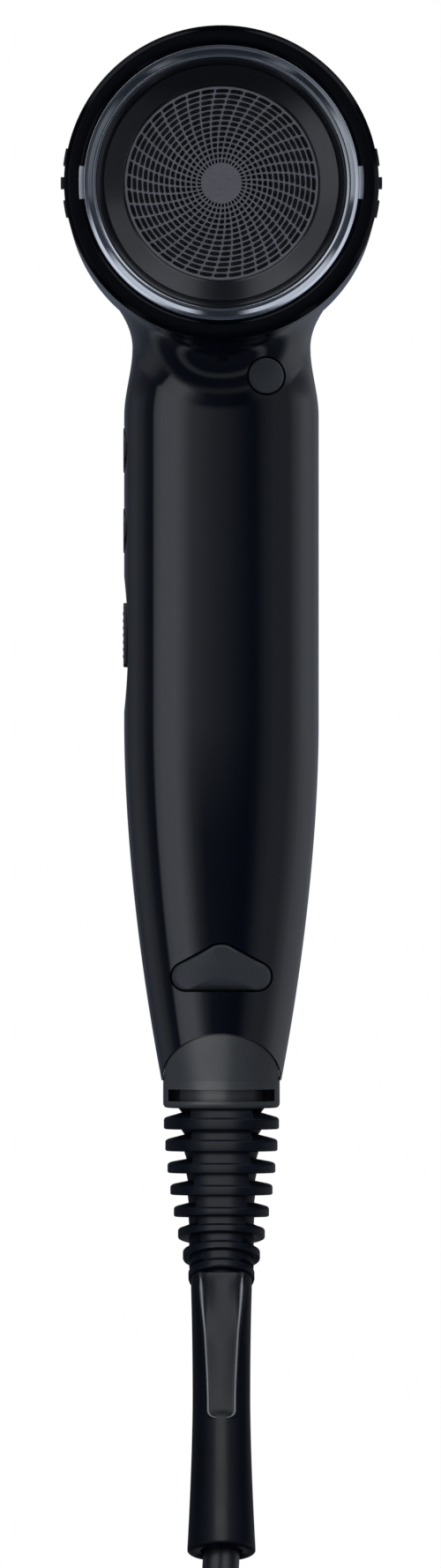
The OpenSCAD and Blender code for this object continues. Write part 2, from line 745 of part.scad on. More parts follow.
module cord_clamp() color([0.3, 0.3, 0.3]) {
    difference() {
        translate([-9.5, 1.5, clamp_z - 2.5]) cube([19, 4.5, 5]);
        translate([0, 0, clamp_z - 5]) cylinder(r = cord_r + 0.05, h = 10);
        for (side = [-1, 1]) on_rear(side * clamp_x, 8, clamp_z) cylinder(r = 1.35, h = 10);
    }
}

module clamp_screws() color([0.6, 0.6, 0.62]) {
    for (side = [-1, 1]) on_rear(side * clamp_x, 6, clamp_z) screw_shape(2.4, 1.25, 12);
}

// ---------- end collar, bend relief and cord ----------

module end_collar() color([0.2, 0.2, 0.21]) {
    difference() {
        union() {
            intersection() {
                handle_outer(0.3);
                arch_form();
            }
            // a lip that backs the gap round the arch
            intersection() {
                handle_outer(1.1);
                arch_form(gap - 0.06);
            }
            translate([0, 0, -collar_low]) rotate_extrude()
                polygon([[0, 0], [collar_r - 1, 0], [collar_r - 0.3, 0.3], [collar_r, 1], [collar_r, 6.6],
                    [0, 6.6]]);
        }
        // a slot at the rear and at the front
        translate([0, 0, -collar_low + 1.5]) intersection() {
            rotate_extrude() translate([8.2, 0]) square([6, 2.6]);
            for (y = [-21, 1]) translate([-11.5, y, -1]) cube([23, 20, 5]);
        }
        handle_form(wall, 32, -handle_low - 0.5, [-80, -60, -40, -21, 42], 4);
        translate([0, 0, -collar_low - 1]) cylinder(r = cord_r + 0.3, h = 20);
    }
}

// Centre line of the bend relief and the sleeve: straight, then leaning back more and more, then less
function arc_point(s, a0, a1, length) =
    let(k = (a1 - a0) * PI / 180 / length, a = a0 + (a1 - a0) * s / length)
    [0, (cos(a) - cos(a0)) / k, -(sin(a) - sin(a0)) / k];
function relief_point(s) = s <= bend_from ? [0, 0, -collar_low - s]
    : s <= relief_len
    ? relief_point(bend_from) + arc_point(s - bend_from, 0, bend_a, relief_len - bend_from)
    : relief_point(relief_len) + arc_point(s - relief_len, bend_a, mouth_a, sleeve_len);
mouth = relief_point(relief_len + sleeve_len);

function core_radius(s) = 7 + 2.4 * pow(1 - s / relief_len, 3);
function rib_radius(i) = 12.5 - 0.25 * i - 0.073 * i * i;

module bend_relief() color([0.1, 0.1, 0.11]) {
    // each rib: flat below, sloping above, as [distance along the line, radius]
    rows = concat([[0, core_radius(0)]],
        [for (i = [0:ring_count - 1], k = [0:4])
            let(low = ring_pitch * i + 4.6, top = low - (i < 2 ? 2.3 : 2), r = rib_radius(i))
            [[top - (i < 2 ? 1.5 : 0.8), core_radius(low)], [top, r - 0.6], [top + 0.7, r],
                [low - 0.2, r - 0.1], [low, core_radius(low)]][k]],
        [[relief_len, core_radius(relief_len)]]);
    sweep([for (row = rows) relief_point(row[0])], [for (row = rows) row[1]], 24);
}

function sleeve_radius(u) = 6.24 + (u < 0.45 ? 0.4 * pow(1 - u / 0.45, 2) : 1.15 * pow((u - 0.45) / 0.55, 1.6));

module relief_sleeve() color([0.08, 0.08, 0.09]) {
    steps = 18;
    points = [for (k = [0:steps]) relief_point(relief_len + sleeve_len * k / steps)];
    sweep(points, [for (k = [0:steps]) sleeve_radius(k / steps) - (k == steps ? 0.5 : 0)], 24);
}

// Routes of the free cord: out of the sleeve to the hank, and from the hank to the plug
lead_route = [mouth, [-1, -34.4, -214], [-3.5, -41.5, -231], [-6.5, -48, -247]];
turn_r = norm([plug_x - cord_d, plug_y - hank_y - fold_r]) / 2;
tail_route = concat([for (k = [0:8]) let(share = (1 - cos(22.5 * k)) / 2)
        [lerp(cord_d, plug_x, share), lerp(hank_y + fold_r, plug_y, share), hank_top + turn_r * sin(22.5 * k)]],
    [[plug_x, plug_y, -275], [plug_x, plug_y, plug_top]]);

module cord_tube(route, steps) {
    points = curve(route, steps);
    sweep(points, [for (p = points) cord_r], 10);
}
module cord_lead() color([0.07, 0.07, 0.07]) { cord_tube(lead_route, 2); }
module cord_tail() color([0.07, 0.07, 0.07]) { cord_tube(tail_route, 2); }

// Half width of the hank at the share u of its straight runs, drawn in by the tie
function hank_half(u) = fold_r + 1.5 * cord_d - pinch * (1 - cos(360 * u)) / 2;

module cord_hank() color([0.07, 0.07, 0.07]) {
    steps = 12;
    r = hank_half(0);
    side = [for (k = [0:steps]) [hank_half(k / steps), lerp(hank_low, hank_top, k / steps)]];
    top = [for (k = [1:2 * steps - 1]) let(a = 90 * k / steps)
        [r * cos(a), hank_top + (r + cord_d) * sin(a)]];
    low = [for (k = [1:2 * steps - 1]) let(a = 180 + 90 * k / steps) [r * cos(a), hank_low + r * sin(a)]];
    translate([-1.5 * cord_d, hank_y, 0]) rotate([90, 0, 90])
        linear_extrude(height = 3 * cord_d)
            polygon(concat(side, top, [for (k = [steps:-1:0]) [-side[k][0], side[k][1]]], low));
}

module hank_tie() color([0.15, 0.15, 0.15]) {
    half = hank_half(0.5) + 1;
    deep = 1.5 * cord_d + 0.05;
    t = 1.6;
    translate([0, hank_y, lerp(hank_low, hank_top, 0.5) - 7]) difference() {
        translate([-deep - t, -half - t, 0]) cube([2 * (deep + t), 2 * (half + t), 14]);
        translate([-deep, -half, -1]) cube([2 * deep, 2 * half, 16]);
    }
}

module plug_body() color([0.06, 0.06, 0.06]) {
    base = 20;
    translate([plug_x, plug_y, plug_low]) {
        for (side = [-1, 1]) translate([0, 7 * side, 0]) cylinder(r = 11, h = base);
        translate([-11, -7, 0]) cube([22, 14, base]);
        translate([0, 0, base]) cylinder(r1 = 11, r2 = 7, h = 14);
        translate([0, 0, base + 14]) cylinder(r1 = 6.4, r2 = 5, h = plug_top - plug_low - base - 14);
    }
}

module plug_pins() color([0.8, 0.8, 0.78]) {
    for (side = [-1, 1])
        translate([plug_x, plug_y + side * pin_gap / 2, plug_low - pin_len]) {
            translate([0, 0, 1.2]) cylinder(r = pin_r, h = pin_len - 1.2);
            cylinder(r1 = pin_r - 1, r2 = pin_r, h = 1.2);
        }
}

rear_housing();
front_housing();
housing_screws();
intake_guard();
fan_duct();
motor_can();
motor_end_cap();
stator_core();
stator_windings();
rotor_magnet();
motor_shaft();
rear_bearing();
front_bearing();
impeller();
heater_boards();
heater_sleeve();
heating_coils();
thermostat();
thermal_fuse();
outlet_grille();
outlet_collar();
ion_generator();
ion_emitter();
filter_cap();
retaining_ring();
filter_dish();
filter_grille();
filter_gauze();
cap_pads();
cap_magnets();
housing_magnets();
cool_shot_button();
cool_shot_spring();
cool_shot_switch();
temperature_button();
temperature_spring();
speed_button();
speed_spring();
side_switches();
ion_button();
ion_spring();
ion_switch();
slider_knob();
slide_switch();
control_board();
supply_wires();
heater_wires();
cord_clamp();
clamp_screws();
inner_cord();
end_collar();
bend_relief();
relief_sleeve();
cord_lead();
cord_hank();
cord_tail();
hank_tie();
plug_body();
plug_pins();
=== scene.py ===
"""A hand-held hair dryer: its visible pieces, their materials, a camera and a plain studio.

Lengths are millimetres until a mesh is made. +Z is up and the air flows towards +Y.
"""
import json
import math

import bpy
from mathutils import Matrix, Vector
from mathutils.bvhtree import BVHTree


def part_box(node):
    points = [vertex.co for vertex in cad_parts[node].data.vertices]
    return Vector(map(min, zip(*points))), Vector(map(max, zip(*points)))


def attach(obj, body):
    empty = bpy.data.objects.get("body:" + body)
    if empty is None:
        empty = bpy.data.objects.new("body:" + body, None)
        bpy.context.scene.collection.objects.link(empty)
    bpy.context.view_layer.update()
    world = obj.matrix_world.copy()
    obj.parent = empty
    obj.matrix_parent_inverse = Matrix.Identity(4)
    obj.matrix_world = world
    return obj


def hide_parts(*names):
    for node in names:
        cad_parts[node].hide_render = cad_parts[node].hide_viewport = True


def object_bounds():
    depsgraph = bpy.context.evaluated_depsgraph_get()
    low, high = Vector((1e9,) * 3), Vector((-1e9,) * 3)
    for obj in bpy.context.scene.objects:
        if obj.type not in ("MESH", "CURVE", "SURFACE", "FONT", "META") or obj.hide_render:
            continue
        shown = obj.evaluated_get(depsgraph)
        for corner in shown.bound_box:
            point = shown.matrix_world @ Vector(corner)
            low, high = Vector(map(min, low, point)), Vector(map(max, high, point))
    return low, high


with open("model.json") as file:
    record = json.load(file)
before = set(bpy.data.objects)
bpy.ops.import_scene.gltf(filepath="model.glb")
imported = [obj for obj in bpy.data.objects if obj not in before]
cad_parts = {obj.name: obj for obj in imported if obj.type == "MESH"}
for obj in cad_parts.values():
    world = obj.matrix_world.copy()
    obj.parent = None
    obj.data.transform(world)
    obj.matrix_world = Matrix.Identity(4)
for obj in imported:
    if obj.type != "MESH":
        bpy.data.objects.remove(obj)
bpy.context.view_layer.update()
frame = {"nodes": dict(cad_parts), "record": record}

MM = 0.001
TAU = 2 * math.pi
SHARP = 32  # degrees; edges that turn more than this stay sharp


def low(node):
    """Lowest corner of a CAD node, in millimetres."""
    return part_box(node)[0] / MM


def high(node):
    """Highest corner of a CAD node, in millimetres."""
    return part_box(node)[1] / MM


def middle_z(node):
    return (high(node).z + low(node).z) / 2


# ---------- sizes ----------

DISC_R = (high("filter_grille").x - low("filter_grille").x) / 2
BARREL_R = DISC_R + 12.85
BARREL_Z = middle_z("filter_grille")
BARREL_IN = BARREL_R - 2
CAP_REAR = low("filter_cap").y
CAP_LEN = 12
CAP_FRONT = CAP_REAR + CAP_LEN
CAP_IN = 29.6
SHELF = 9.6
SEAM_Y = 8
SEAM_GAP = 0.05
TAPER_Y = 34
BARREL_FRONT = 80
MOUTH_R = 25.8
WALL = 2
OUTLET_R = 23.6
OUTLET_LEN = high("outlet_collar").y - BARREL_FRONT

GRIP_HALF_W = 21.1
GRIP_HALF_D = 18.2
GRIP_N = 2.3
TAIL_R = 13
HANDLE_LOW = 98
TAPER_TOP = -21
NECK_HALF_W = 19.3
NECK_LOW = 46
NECK_Z = BARREL_Z - BARREL_R - 0.6
FLARE_Z = 47
FOOT_X = 24.8
FOOT_Y = 31
SINK = 0.06

COOL_R = 3.85
COOL_X = 9.7
COOL_Z = 54.3
SIDE_R = 5
TEMP_Z = middle_z("temperature_button")
SPEED_Z = middle_z("speed_button")
KNOB_Z = middle_z("slider_knob")
KNOB_LEN = high("slider_knob").z - low("slider_knob").z
GAP = 0.35
SCOOP_Z = -3.5
SCOOP_LEN = 29.5
SCOOP_DEPTH = 0.85
KNOB_TRAVEL = 4
TRI_TOP = -68.4
TRI_LOW = -78.4
TRI_HALF = 10.8
SCREWS = [(10.5, 30), (10.5, -38), (-6, -60), (6, -60)]

ARCH_TOP = 88.1
ARCH_FOOT = 97.6
ARCH_HALF = 12.6
COLLAR_LOW = 104
COLLAR_R = 12.65
RELIEF_LEN = 38
BEND_FROM = 22
SLEEVE_LEN = 63
GROOVE_LEN = 34.8
BEND_A = 28
MOUTH_A = 18
RIBS = 8
RIB_PITCH = 4.75

CORD_D = 8
HANK_Y = -18
HANK_TOP = -262
HANK_LOW = -406
PINCH = 18
FOLD_R = 25
PLUG_X = 27
PLUG_Y = -40
PLUG_TOP = high("plug_body").z
PLUG_LOW = low("plug_body").z
PIN_R = 2.4
PIN_GAP = 19

VIEW_HEIGHT = 337.8
VIEW_X = -0.2
VIEW_TOP = BARREL_Z + 40.1
VIEW_PLANE_Y = -25
LENS = 420
SENSOR = 36


# ---------- helpers for numbers ----------

def lerp(a, b, t):
    return a + (b - a) * t


def smooth(t):
    t = min(1, max(0, t))
    return t * t * (3 - 2 * t)


def super_power(c, n):
    return math.copysign(abs(c) ** (2 / n), c)


def curve_through(points, steps):
    """Smooth curve through given points, with steps pieces between each pair."""
    p = [Vector(q) for q in points]
    out = []
    for k in range(len(p) - 1):
        a, b, c, d = p[max(k - 1, 0)], p[k], p[k + 1], p[min(k + 2, len(p) - 1)]
        for s in range(steps):
            t = s / steps
            out.append(b + 0.5 * t * ((c - a) + t * ((2 * a - 5 * b + 4 * c - d)
                                                    + t * (3 * (b - c) + d - a))))
    return out + [p[-1]]


def rounded(profile, radius, steps=4):
    """A closed outline, its corners off the axis rounded; a point may hold its own radius third."""
    count = len(profile)
    out = []
    for i in range(count):
        here = profile[i]
        r = here[2] if len(here) > 2 else radius
        a, b, c = (Vector(profile[j % count][:2]) for j in (i - 1, i, i + 1))
        before, after = a - b, c - b
        if r <= 0 or here[0] <= 0 or before.length < 1e-6 or after.length < 1e-6:
            out.append(tuple(b))
            continue
        turn = math.pi - before.angle(after)
        if turn < 0.15:
            out.append(tuple(b))
            continue
        reach = min(r * math.tan(turn / 2), 0.49 * before.length, 0.49 * after.length)
        start, end = b + before.normalized() * reach, b + after.normalized() * reach
        for k in range(steps + 1):
            t = k / steps
            out.append(tuple((1 - t) ** 2 * start + 2 * t * (1 - t) * b + t * t * end))
    return out


def arc(cx, cy, r, start, stop, steps):
    """Points along an arc, between two angles in degrees."""
    angles = [math.radians(lerp(start, stop, k / steps)) for k in range(steps + 1)]
    return [(cx + r * math.cos(a), cy + r * math.sin(a)) for a in angles]


def circle(cx, cy, r, sides):
    return [(cx + r * math.cos(TAU * i / sides), cy + r * math.sin(TAU * i / sides)) for i in range(sides)]


def rounded_box(half_x, half_y, r, steps):
    """A rectangle's outline round the origin, anticlockwise, with round corners."""
    r = min(r, 0.98 * half_x, 0.98 * half_y)
    x, y = half_x - r, half_y - r
    out = []
    for quarter, (cx, cy) in enumerate(((x, y), (-x, y), (-x, -y), (x, -y))):
        out += arc(cx, cy, r, 90 * quarter, 90 * quarter + 90, steps)
    return out


# ---------- helpers for meshes ----------

def on_barrel(y):
    """Local Z along the barrel's axis towards the outlet, from y."""
    return Matrix(((1, 0, 0, 0), (0, 0, 1, y), (0, -1, 0, BARREL_Z), (0, 0, 0, 1)))


def on_left(x, z):
    """Local Z out of the handle's left side."""
    return Matrix(((0, 0, -1, x), (0, 1, 0, 0), (1, 0, 0, z), (0, 0, 0, 1)))


def on_rear(x, y, z):
    """Local Z out of the handle's rear face."""
    return Matrix(((1, 0, 0, x), (0, 0, -1, y), (0, 1, 0, z), (0, 0, 0, 1)))


def at(x, y, z):
    return Matrix.Translation((x, y, z))


def turned(angle):
    return Matrix.Rotation(math.radians(angle), 4, "Z")


def soften(obj, angle):
    """Smooth shading, with edges sharper than the angle kept sharp."""
    mesh = obj.data
    mesh.polygons.foreach_set("use_smooth", [True] * len(mesh.polygons))
    mesh.set_sharp_from_angle(angle=math.radians(angle))
    return obj


def make(name, points, faces, place=None, angle=SHARP):
    """A mesh object from points in millimetres."""
    mesh = bpy.data.meshes.new(name)
    moved = [place @ Vector(p) for p in points] if place else [Vector(p) for p in points]
    mesh.from_pydata([p * MM for p in moved], [], faces)
    mesh.validate()
    obj = bpy.data.objects.new(name, mesh)
    bpy.context.scene.collection.objects.link(obj)
    return soften(obj, angle)


def loft(rows):
    """Points and faces of a closed skin over rings of equal length."""
    n = len(rows[0])
    points = [p for row in rows for p in row]
    faces = [[j * n + i, j * n + (i + 1) % n, (j + 1) * n + (i + 1) % n, (j + 1) * n + i]
             for j in range(len(rows) - 1) for i in range(n)]
    faces.append(list(reversed(range(n))))
    faces.append([(len(rows) - 1) * n + i for i in range(n)])
    return points, faces


def revolved(profile, sides):
    """Points and faces of a closed outline, as (radius, height), turned about the Z axis."""
    rings, points = [], []
    for r, h in profile:
        if r < 1e-6:
            rings.append([len(points)] * sides)
            points.append((0, 0, h))
        else:
            rings.append(list(range(len(points), len(points) + sides)))
            points += [(x, y, h) for x, y in circle(0, 0, r, sides)]
    faces = []
    for a, b in zip(rings, rings[1:] + rings[:1]):
        if a[0] == a[1] and b[0] == b[1]:
            continue
        for i in range(sides):
            j = (i + 1) % sides
            faces.append(list(dict.fromkeys([a[i], a[j], b[j], b[i]])))
    return points, faces


def lathe(name, profile, place, sides=160, fillet=0.25):
    return make(name, *revolved(rounded(profile, fillet), sides), place)


def prism(name, outline, h0, h1, place=None):
    """An outline in the local XY plane, drawn up from h0 to h1."""
    return make(name, *loft([[(p[0], p[1], h) for p in outline] for h in (h0, h1)]), place)


def block(name, x0, x1, y0, y1, z0, z1, place=None):
    """A box with sharp edges."""
    return prism(name, [(x0, y0), (x1, y0), (x1, y1), (x0, y1)], z0, z1, place)


def combine(obj, other, operation):
    """Joins other to obj, cuts it from obj or keeps what they share, and removes other."""
    step = obj.modifiers.new("combine", "BOOLEAN")
    step.operation, step.solver, step.object = operation, "MANIFOLD", other
    bpy.context.view_layer.update()
    done = bpy.data.meshes.new_from_object(
        obj.evaluated_get(bpy.context.evaluated_depsgraph_get()))
    old = obj.data
    obj.modifiers.clear()
    obj.data = done
    bpy.data.meshes.remove(old)
    bpy.data.objects.remove(other)


def cut(obj, *cutters):
    for cutter in cutters:
        combine(obj, cutter, "DIFFERENCE")


def fuse(obj, *others):
    for other in others:
        combine(obj, other, "UNION")
    return obj


def joined(name, *objs):
    """One object of several, without changing their meshes."""
    first = objs[0]
    with bpy.context.temp_override(active_object=first, selected_editable_objects=list(objs)):
        if len(objs) > 1:
            bpy.ops.object.join()
    first.name = name
    return first


def copied(obj, name):
    other = obj.copy()
    other.data = obj.data.copy()
    other.name = name
    bpy.context.scene.collection.objects.link(other)
    return other


def tube(name, points, radii, sides):
    """A round bar along points, closed at both ends, that doesn't twist."""
    points = [Vector(p) for p in points]
    rows, last, side = [], len(points) - 1, None
    for k, p in enumerate(points):
        t = (points[min(k + 1, last)] - points[max(k - 1, 0)]).normalized()
        if side is None:
            side = t.orthogonal().normalized()
        side = (side - t * side.dot(t)).normalized()
        other = t.cross(side)
        r = radii[k] if isinstance(radii, list) else radii
        rows.append([p + side * x + other * y for x, y in circle(0, 0, r, sides)])
    return make(name, *loft(rows))


def surface_tree(*objs):
    """Search tree over the smooth surfaces of objects, with the normals of their points."""
    points, faces, normals = [], [], []
    for obj in objs:
        start = len(points)
        points += [v.co.copy() for v in obj.data.vertices]
        normals += [v.normal.copy() for v in obj.data.vertices]
        obj.data.calc_loop_triangles()
        faces += [[start + i for i in t.vertices] for t in obj.data.loop_triangles]
    return BVHTree.FromPolygons(points, faces), points, faces, normals


NORMAL_REACH = 0.02  # millimetres
NORMAL_SPREAD = math.radians(25)


def take_normals(obj, source):
    """Shades obj as smoothly as the surfaces in source, where it lies on them."""
    tree, points, faces, normals = source
    mesh = obj.data
    found, custom = {}, []
    current = [Vector(n.vector) for n in mesh.corner_normals]
    for face in mesh.polygons:
        for loop in face.loop_indices:
            index = mesh.loops[loop].vertex_index
            if index not in found:
                place, _, hit, away = tree.find_nearest(mesh.vertices[index].co)
                near = place is not None and away <= NORMAL_REACH * MM
                found[index] = blended_normal(place, faces[hit], points, normals) if near else None
            normal = found[index]
            fits = normal is not None and normal.dot(face.normal) > math.cos(NORMAL_SPREAD)
            custom.append(normal if fits else current[loop])
    mesh.normals_split_custom_set(custom)


def blended_normal(place, face, points, normals):
    a, b, c = (points[i] for i in face)
    total = (b - a).cross(c - a)
    size = total.length_squared
    if size < 1e-30:
        return normals[face[0]]
    u = (b - place).cross(c - place).dot(total) / size
    v = (c - place).cross(a - place).dot(total) / size
    return (normals[face[0]] * u + normals[face[1]] * v
            + normals[face[2]] * (1 - u - v)).normalized()


def dress(obj, slot):
    """The piece takes a slot's finish."""
    obj.data.materials.clear()
    obj.data.materials.append(MATERIALS[slot])


def place_piece(obj, body, slot, *nodes):
    """The piece rides on a body, takes a slot's finish and stands for CAD nodes."""
    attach(obj, body)
    dress(obj, slot)
    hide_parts(*nodes)


# ---------- materials ----------

MATERIALS = {}  # by the name of their slot


def feed(tree, node, inputs):
    """Gives a node's inputs their values, or links them to other nodes' outputs."""
    for key, value in inputs.items():
        if isinstance(value, bpy.types.NodeSocket):
            tree.links.new(value, node.inputs[key])
        else:
            node.inputs[key].default_value = value


def add(tree, kind, inputs, **settings):
    """A new shader node; its settings come first, since they decide which inputs it has."""
    node = tree.nodes.new("ShaderNode" + kind)
    for key, value in settings.items():
        setattr(node, key, value)
    feed(tree, node, inputs)
    return node


def node_tree(name):
    """A new material, listed under its name, with its node tree and its shader."""
    material = MATERIALS[name] = bpy.data.materials.new(name)
    material.use_nodes = True
    return material.node_tree, material.node_tree.nodes["Principled BSDF"]


def own_space(tree):
    return tree.nodes.new("ShaderNodeTexCoord").outputs["Object"]


def noise_of(tree, scale, detail=3, stretch=(1, 1, 1)):
    """Noise in the object's own space; scale is in waves per metre."""
    mapping = add(tree, "Mapping", {"Vector": own_space(tree), "Scale": stretch})
    return add(tree, "TexNoise", {"Vector": mapping.outputs["Vector"], "Scale": scale,
                                  "Detail": detail}).outputs["Fac"]


def waves(tree, axis, pitch_mm, distortion=0):
    """Ridges across one axis of the object's own space, at a pitch."""
    return add(tree, "TexWave", {"Vector": own_space(tree), "Scale": TAU / (20 * pitch_mm * MM),
                                 "Distortion": distortion}, bands_direction=axis).outputs["Fac"]


def maths(tree, operation, *values):
    return add(tree, "Math", dict(enumerate(values)), operation=operation).outputs[0]


def ranged(tree, value, low_out=0, high_out=1, low_in=0.3, high_in=0.7):
    """A value mapped to a range."""
    return add(tree, "MapRange", {"Value": value, "From Min": low_in, "From Max": high_in,
                                  "To Min": low_out, "To Max": high_out}).outputs["Result"]


def mixed(tree, factor, first, second, blend="MIX"):
    """A colour out of two; each may be a colour or a node's output."""
    return add(tree, "Mix", {"Factor": factor, "A": first, "B": second},
               data_type="RGBA", blend_type=blend).outputs["Result"]


def tinted(tree, value, dark, light):
    """A colour between two, by a value."""
    return mixed(tree, value, (*dark, 1), (*light, 1))


def ramp(tree, value, stops, interpolation="LINEAR"):
    """A colour by a value, from rising stops of a position and a colour."""
    node = add(tree, "ValToRGB", {"Fac": value})
    node.color_ramp.interpolation = interpolation
    elements = node.color_ramp.elements
    while len(elements) < len(stops):
        elements.new(0.5)
    for element, (position, colour) in zip(elements, stops):
        element.position, element.color = position, (*colour, 1)
    return node.outputs["Color"]


def bump(tree, shader, height, strength, depth_mm):
    node = add(tree, "Bump", {"Height": height, "Strength": strength, "Distance": depth_mm * MM})
    feed(tree, shader, {"Normal": node.outputs["Normal"]})


def shades(colour, spread):
    return tuple(c * (1 - spread) for c in colour), tuple(c * (1 + spread) for c in colour)


def moulded(name, colour, rough, grain=0.0, grain_scale=2500, spread=0.1, specular=0.5, rough_spread=0.12):
    """Moulded plastic or rubber: faint mottling, uneven gloss and an optional fine grain."""
    tree, shader = node_tree(name)
    mottle, smears = noise_of(tree, 60), noise_of(tree, 140, 4)
    feed(tree, shader, {
        "Base Color": tinted(tree, ranged(tree, mottle), *shades(colour, spread)),
        "Roughness": ranged(tree, smears, rough * (1 - rough_spread), rough * (1 + rough_spread)),
        "Specular IOR Level": specular})
    if grain:
        bump(tree, shader, noise_of(tree, grain_scale, 2), grain, 0.05)


def metal(name, colour, rough, brush, scale, spread, depth, groove=None):
    """Metal with brushing or fine turning marks, mottled, with optional painted shade darkening a groove."""
    tree, shader = node_tree(name)
    marks = noise_of(tree, scale, 4, brush)
    base = tinted(tree, ranged(tree, noise_of(tree, 70)), *shades(colour, spread))
    if groove:
        base = painted_groove_shade(tree, base, *groove)
    feed(tree, shader, {"Base Color": base, "Metallic": 1,
                        "Roughness": ranged(tree, marks, rough * 0.8, rough * 1.25)})
    if depth:
        bump(tree, shader, marks, depth, 0.03)


def painted_groove_shade(tree, colour, inner, outer):
    """Painted shade: halves a colour's brightness between two distances from the barrel's axis, in metres,
    where a groove lies in shade.
    """
    reach = 0.04
    mapping = add(tree, "Mapping", {"Vector": own_space(tree), "Location": (0, 0, -BARREL_Z * MM),
                                    "Scale": (1, 0, 1)})
    distance = add(tree, "VectorMath", {0: mapping.outputs["Vector"]}, operation="LENGTH").outputs["Value"]
    stops = [(position, (value,) * 3)
             for position, value in ((0, 1), (inner / reach, 0.5), (outer / reach, 1), (1, 1))]
    share = ramp(tree, ranged(tree, distance, 0, 1, 0, reach), stops, "CONSTANT")
    return mixed(tree, 1, colour, share, "MULTIPLY")


def wire_finish(tree, shader, base, metallic, mottle_scale, rough):
    feed(tree, shader, {"Base Color": base, "Metallic": metallic,
                        "Roughness": ranged(tree, noise_of(tree, mottle_scale), rough * 0.8, rough * 1.2)})


def wound(name, colour, rough, pitch_mm, axis, metallic):
    """Closely wound wire: ridges along one axis at the wire's pitch, with painted shade darkening the valleys
    between turns.
    """
    tree, shader = node_tree(name)
    height = waves(tree, axis, pitch_mm, 0.4)
    wire_finish(tree, shader, tinted(tree, height, *shades(colour, 0.35)), metallic, 300, rough)
    bump(tree, shader, height, 0.6, pitch_mm * 0.3)


def woven(name, colour, rough, pitch_mm, metallic):
    """A fine square weave in the plane across the barrel, with painted shade darkening the openings between
    the wires.
    """
    tree, shader = node_tree(name)
    height = maths(tree, "MAXIMUM", waves(tree, "X", pitch_mm), waves(tree, "Z", pitch_mm))
    # painted shade: the openings between the wires at 12 percent of the wire's colour
    dark = tuple(c * 0.12 for c in colour)
    wire_finish(tree, shader, tinted(tree, height, dark, colour), metallic, 400, rough)
    bump(tree, shader, height, 0.8, pitch_mm * 0.4)


moulded("gloss_shell", (0.0014, 0.0022, 0.0058), 0.085, spread=0.06, rough_spread=0.2)
moulded("gloss_rim", (0.0006, 0.0008, 0.0022), 0.1, spread=0.06, specular=0.12)
# the satin ring's groove, 27.4 to 28.66 mm from the barrel's axis, darkened with painted shade
metal("satin_ring", (0.6, 0.62, 0.66), 0.11, (1, 0.15, 1), 1500, 0.05, 0, groove=(0.0274, 0.02866))
metal("etched_steel", (0.262, 0.252, 0.266), 0.42, (1, 1, 1), 1800, 0.12, 0.25)
woven("gauze", (0.10, 0.10, 0.105), 0.55, 0.28, 0.6)
moulded("matte_black", (0.0035, 0.004, 0.006), 0.22, 0.12, 3200)
moulded("matte_grey", (0.026, 0.029, 0.033), 0.5, 0.25, 3600)
moulded("soft_grey", (0.014, 0.0155, 0.0175), 0.4, 0.12, 3000, specular=0.16)
moulded("soft_black", (0.001, 0.0014, 0.0028), 0.34, 0.06, 2600, specular=0.06)
moulded("cord_pvc", (0.004, 0.0045, 0.006), 0.32, 0.2, 900)
metal("steel", (0.6, 0.6, 0.62), 0.26, (1, 1, 1), 1200, 0.06, 0.1)
metal("nickel", (0.72, 0.7, 0.66), 0.16, (1, 1, 0.1), 1200, 0.05, 0.06)
wound("laminations", (0.3, 0.31, 0.33), 0.45, 0.5, "Y", 0.9)
wound("copper", (0.62, 0.26, 0.1), 0.3, 0.45, "Y", 0.9)
moulded("mica", (0.52, 0.44, 0.3), 0.55, 0.3, 900, 0.25)
wound("resistance_wire", (0.42, 0.39, 0.37), 0.35, 0.7, "X", 1.0)
moulded("heat_black", (0.014, 0.014, 0.015), 0.4, 0.3, 3400)
moulded("duct_grey", (0.06, 0.061, 0.065), 0.42, 0.15, 2800)
moulded("ceramic_white", (0.62, 0.6, 0.55), 0.5, 0.2, 2200, 0.05)
moulded("module_blue", (0.02, 0.035, 0.12), 0.35, 0.15, 2400, 0.15)
moulded("board_green", (0.012, 0.07, 0.03), 0.3, 0.2, 1400, 0.3)
moulded("wire_brown", (0.09, 0.035, 0.015), 0.4, 0.1, 2400)
moulded("wire_grey", (0.3, 0.3, 0.3), 0.6, 0.5, 3000, 0.2)


# ---------- camera ----------

def make_camera():
    data = bpy.data.cameras.new("camera")
    data.lens = LENS
    data.sensor_width = SENSOR
    data.clip_end = 100
    camera = bpy.data.objects.new("camera", data)
    away = VIEW_HEIGHT * LENS / SENSOR
    middle = VIEW_TOP - VIEW_HEIGHT / 2
    camera.location = Vector((VIEW_X, VIEW_PLANE_Y - away, middle)) * MM
    camera.rotation_euler = (math.radians(90), 0, 0)
    bpy.context.scene.collection.objects.link(camera)
    bpy.context.scene.camera = camera


make_camera()


# ---------- the cord's line ----------

def arc_point(s, a0, a1, length):
    k = math.radians(a1 - a0) / length
    a = math.radians(a0 + (a1 - a0) * s / length)
    a0 = math.radians(a0)
    return Vector((0, (math.cos(a) - math.cos(a0)) / k, -(math.sin(a) - math.sin(a0)) / k))


def relief_point(s):
    """The line down the ribbed relief and the sleeve, s from the collar."""
    if s <= BEND_FROM:
        return Vector((0, 0, -COLLAR_LOW - s))
    if s <= RELIEF_LEN:
        return relief_point(BEND_FROM) + arc_point(s - BEND_FROM, 0, BEND_A, RELIEF_LEN - BEND_FROM)
    return relief_point(RELIEF_LEN) + arc_point(s - RELIEF_LEN, BEND_A, MOUTH_A, SLEEVE_LEN)


MOUTH = relief_point(RELIEF_LEN + SLEEVE_LEN)
CORD_INSIDE = 7
LEAD = [MOUTH, (-1, -34.4, -214), (-3.5, -41.5, -231), (-6.5, -48, -247)]
TAIL_END = [(PLUG_X, PLUG_Y, -275), (PLUG_X, PLUG_Y, PLUG_TOP)]


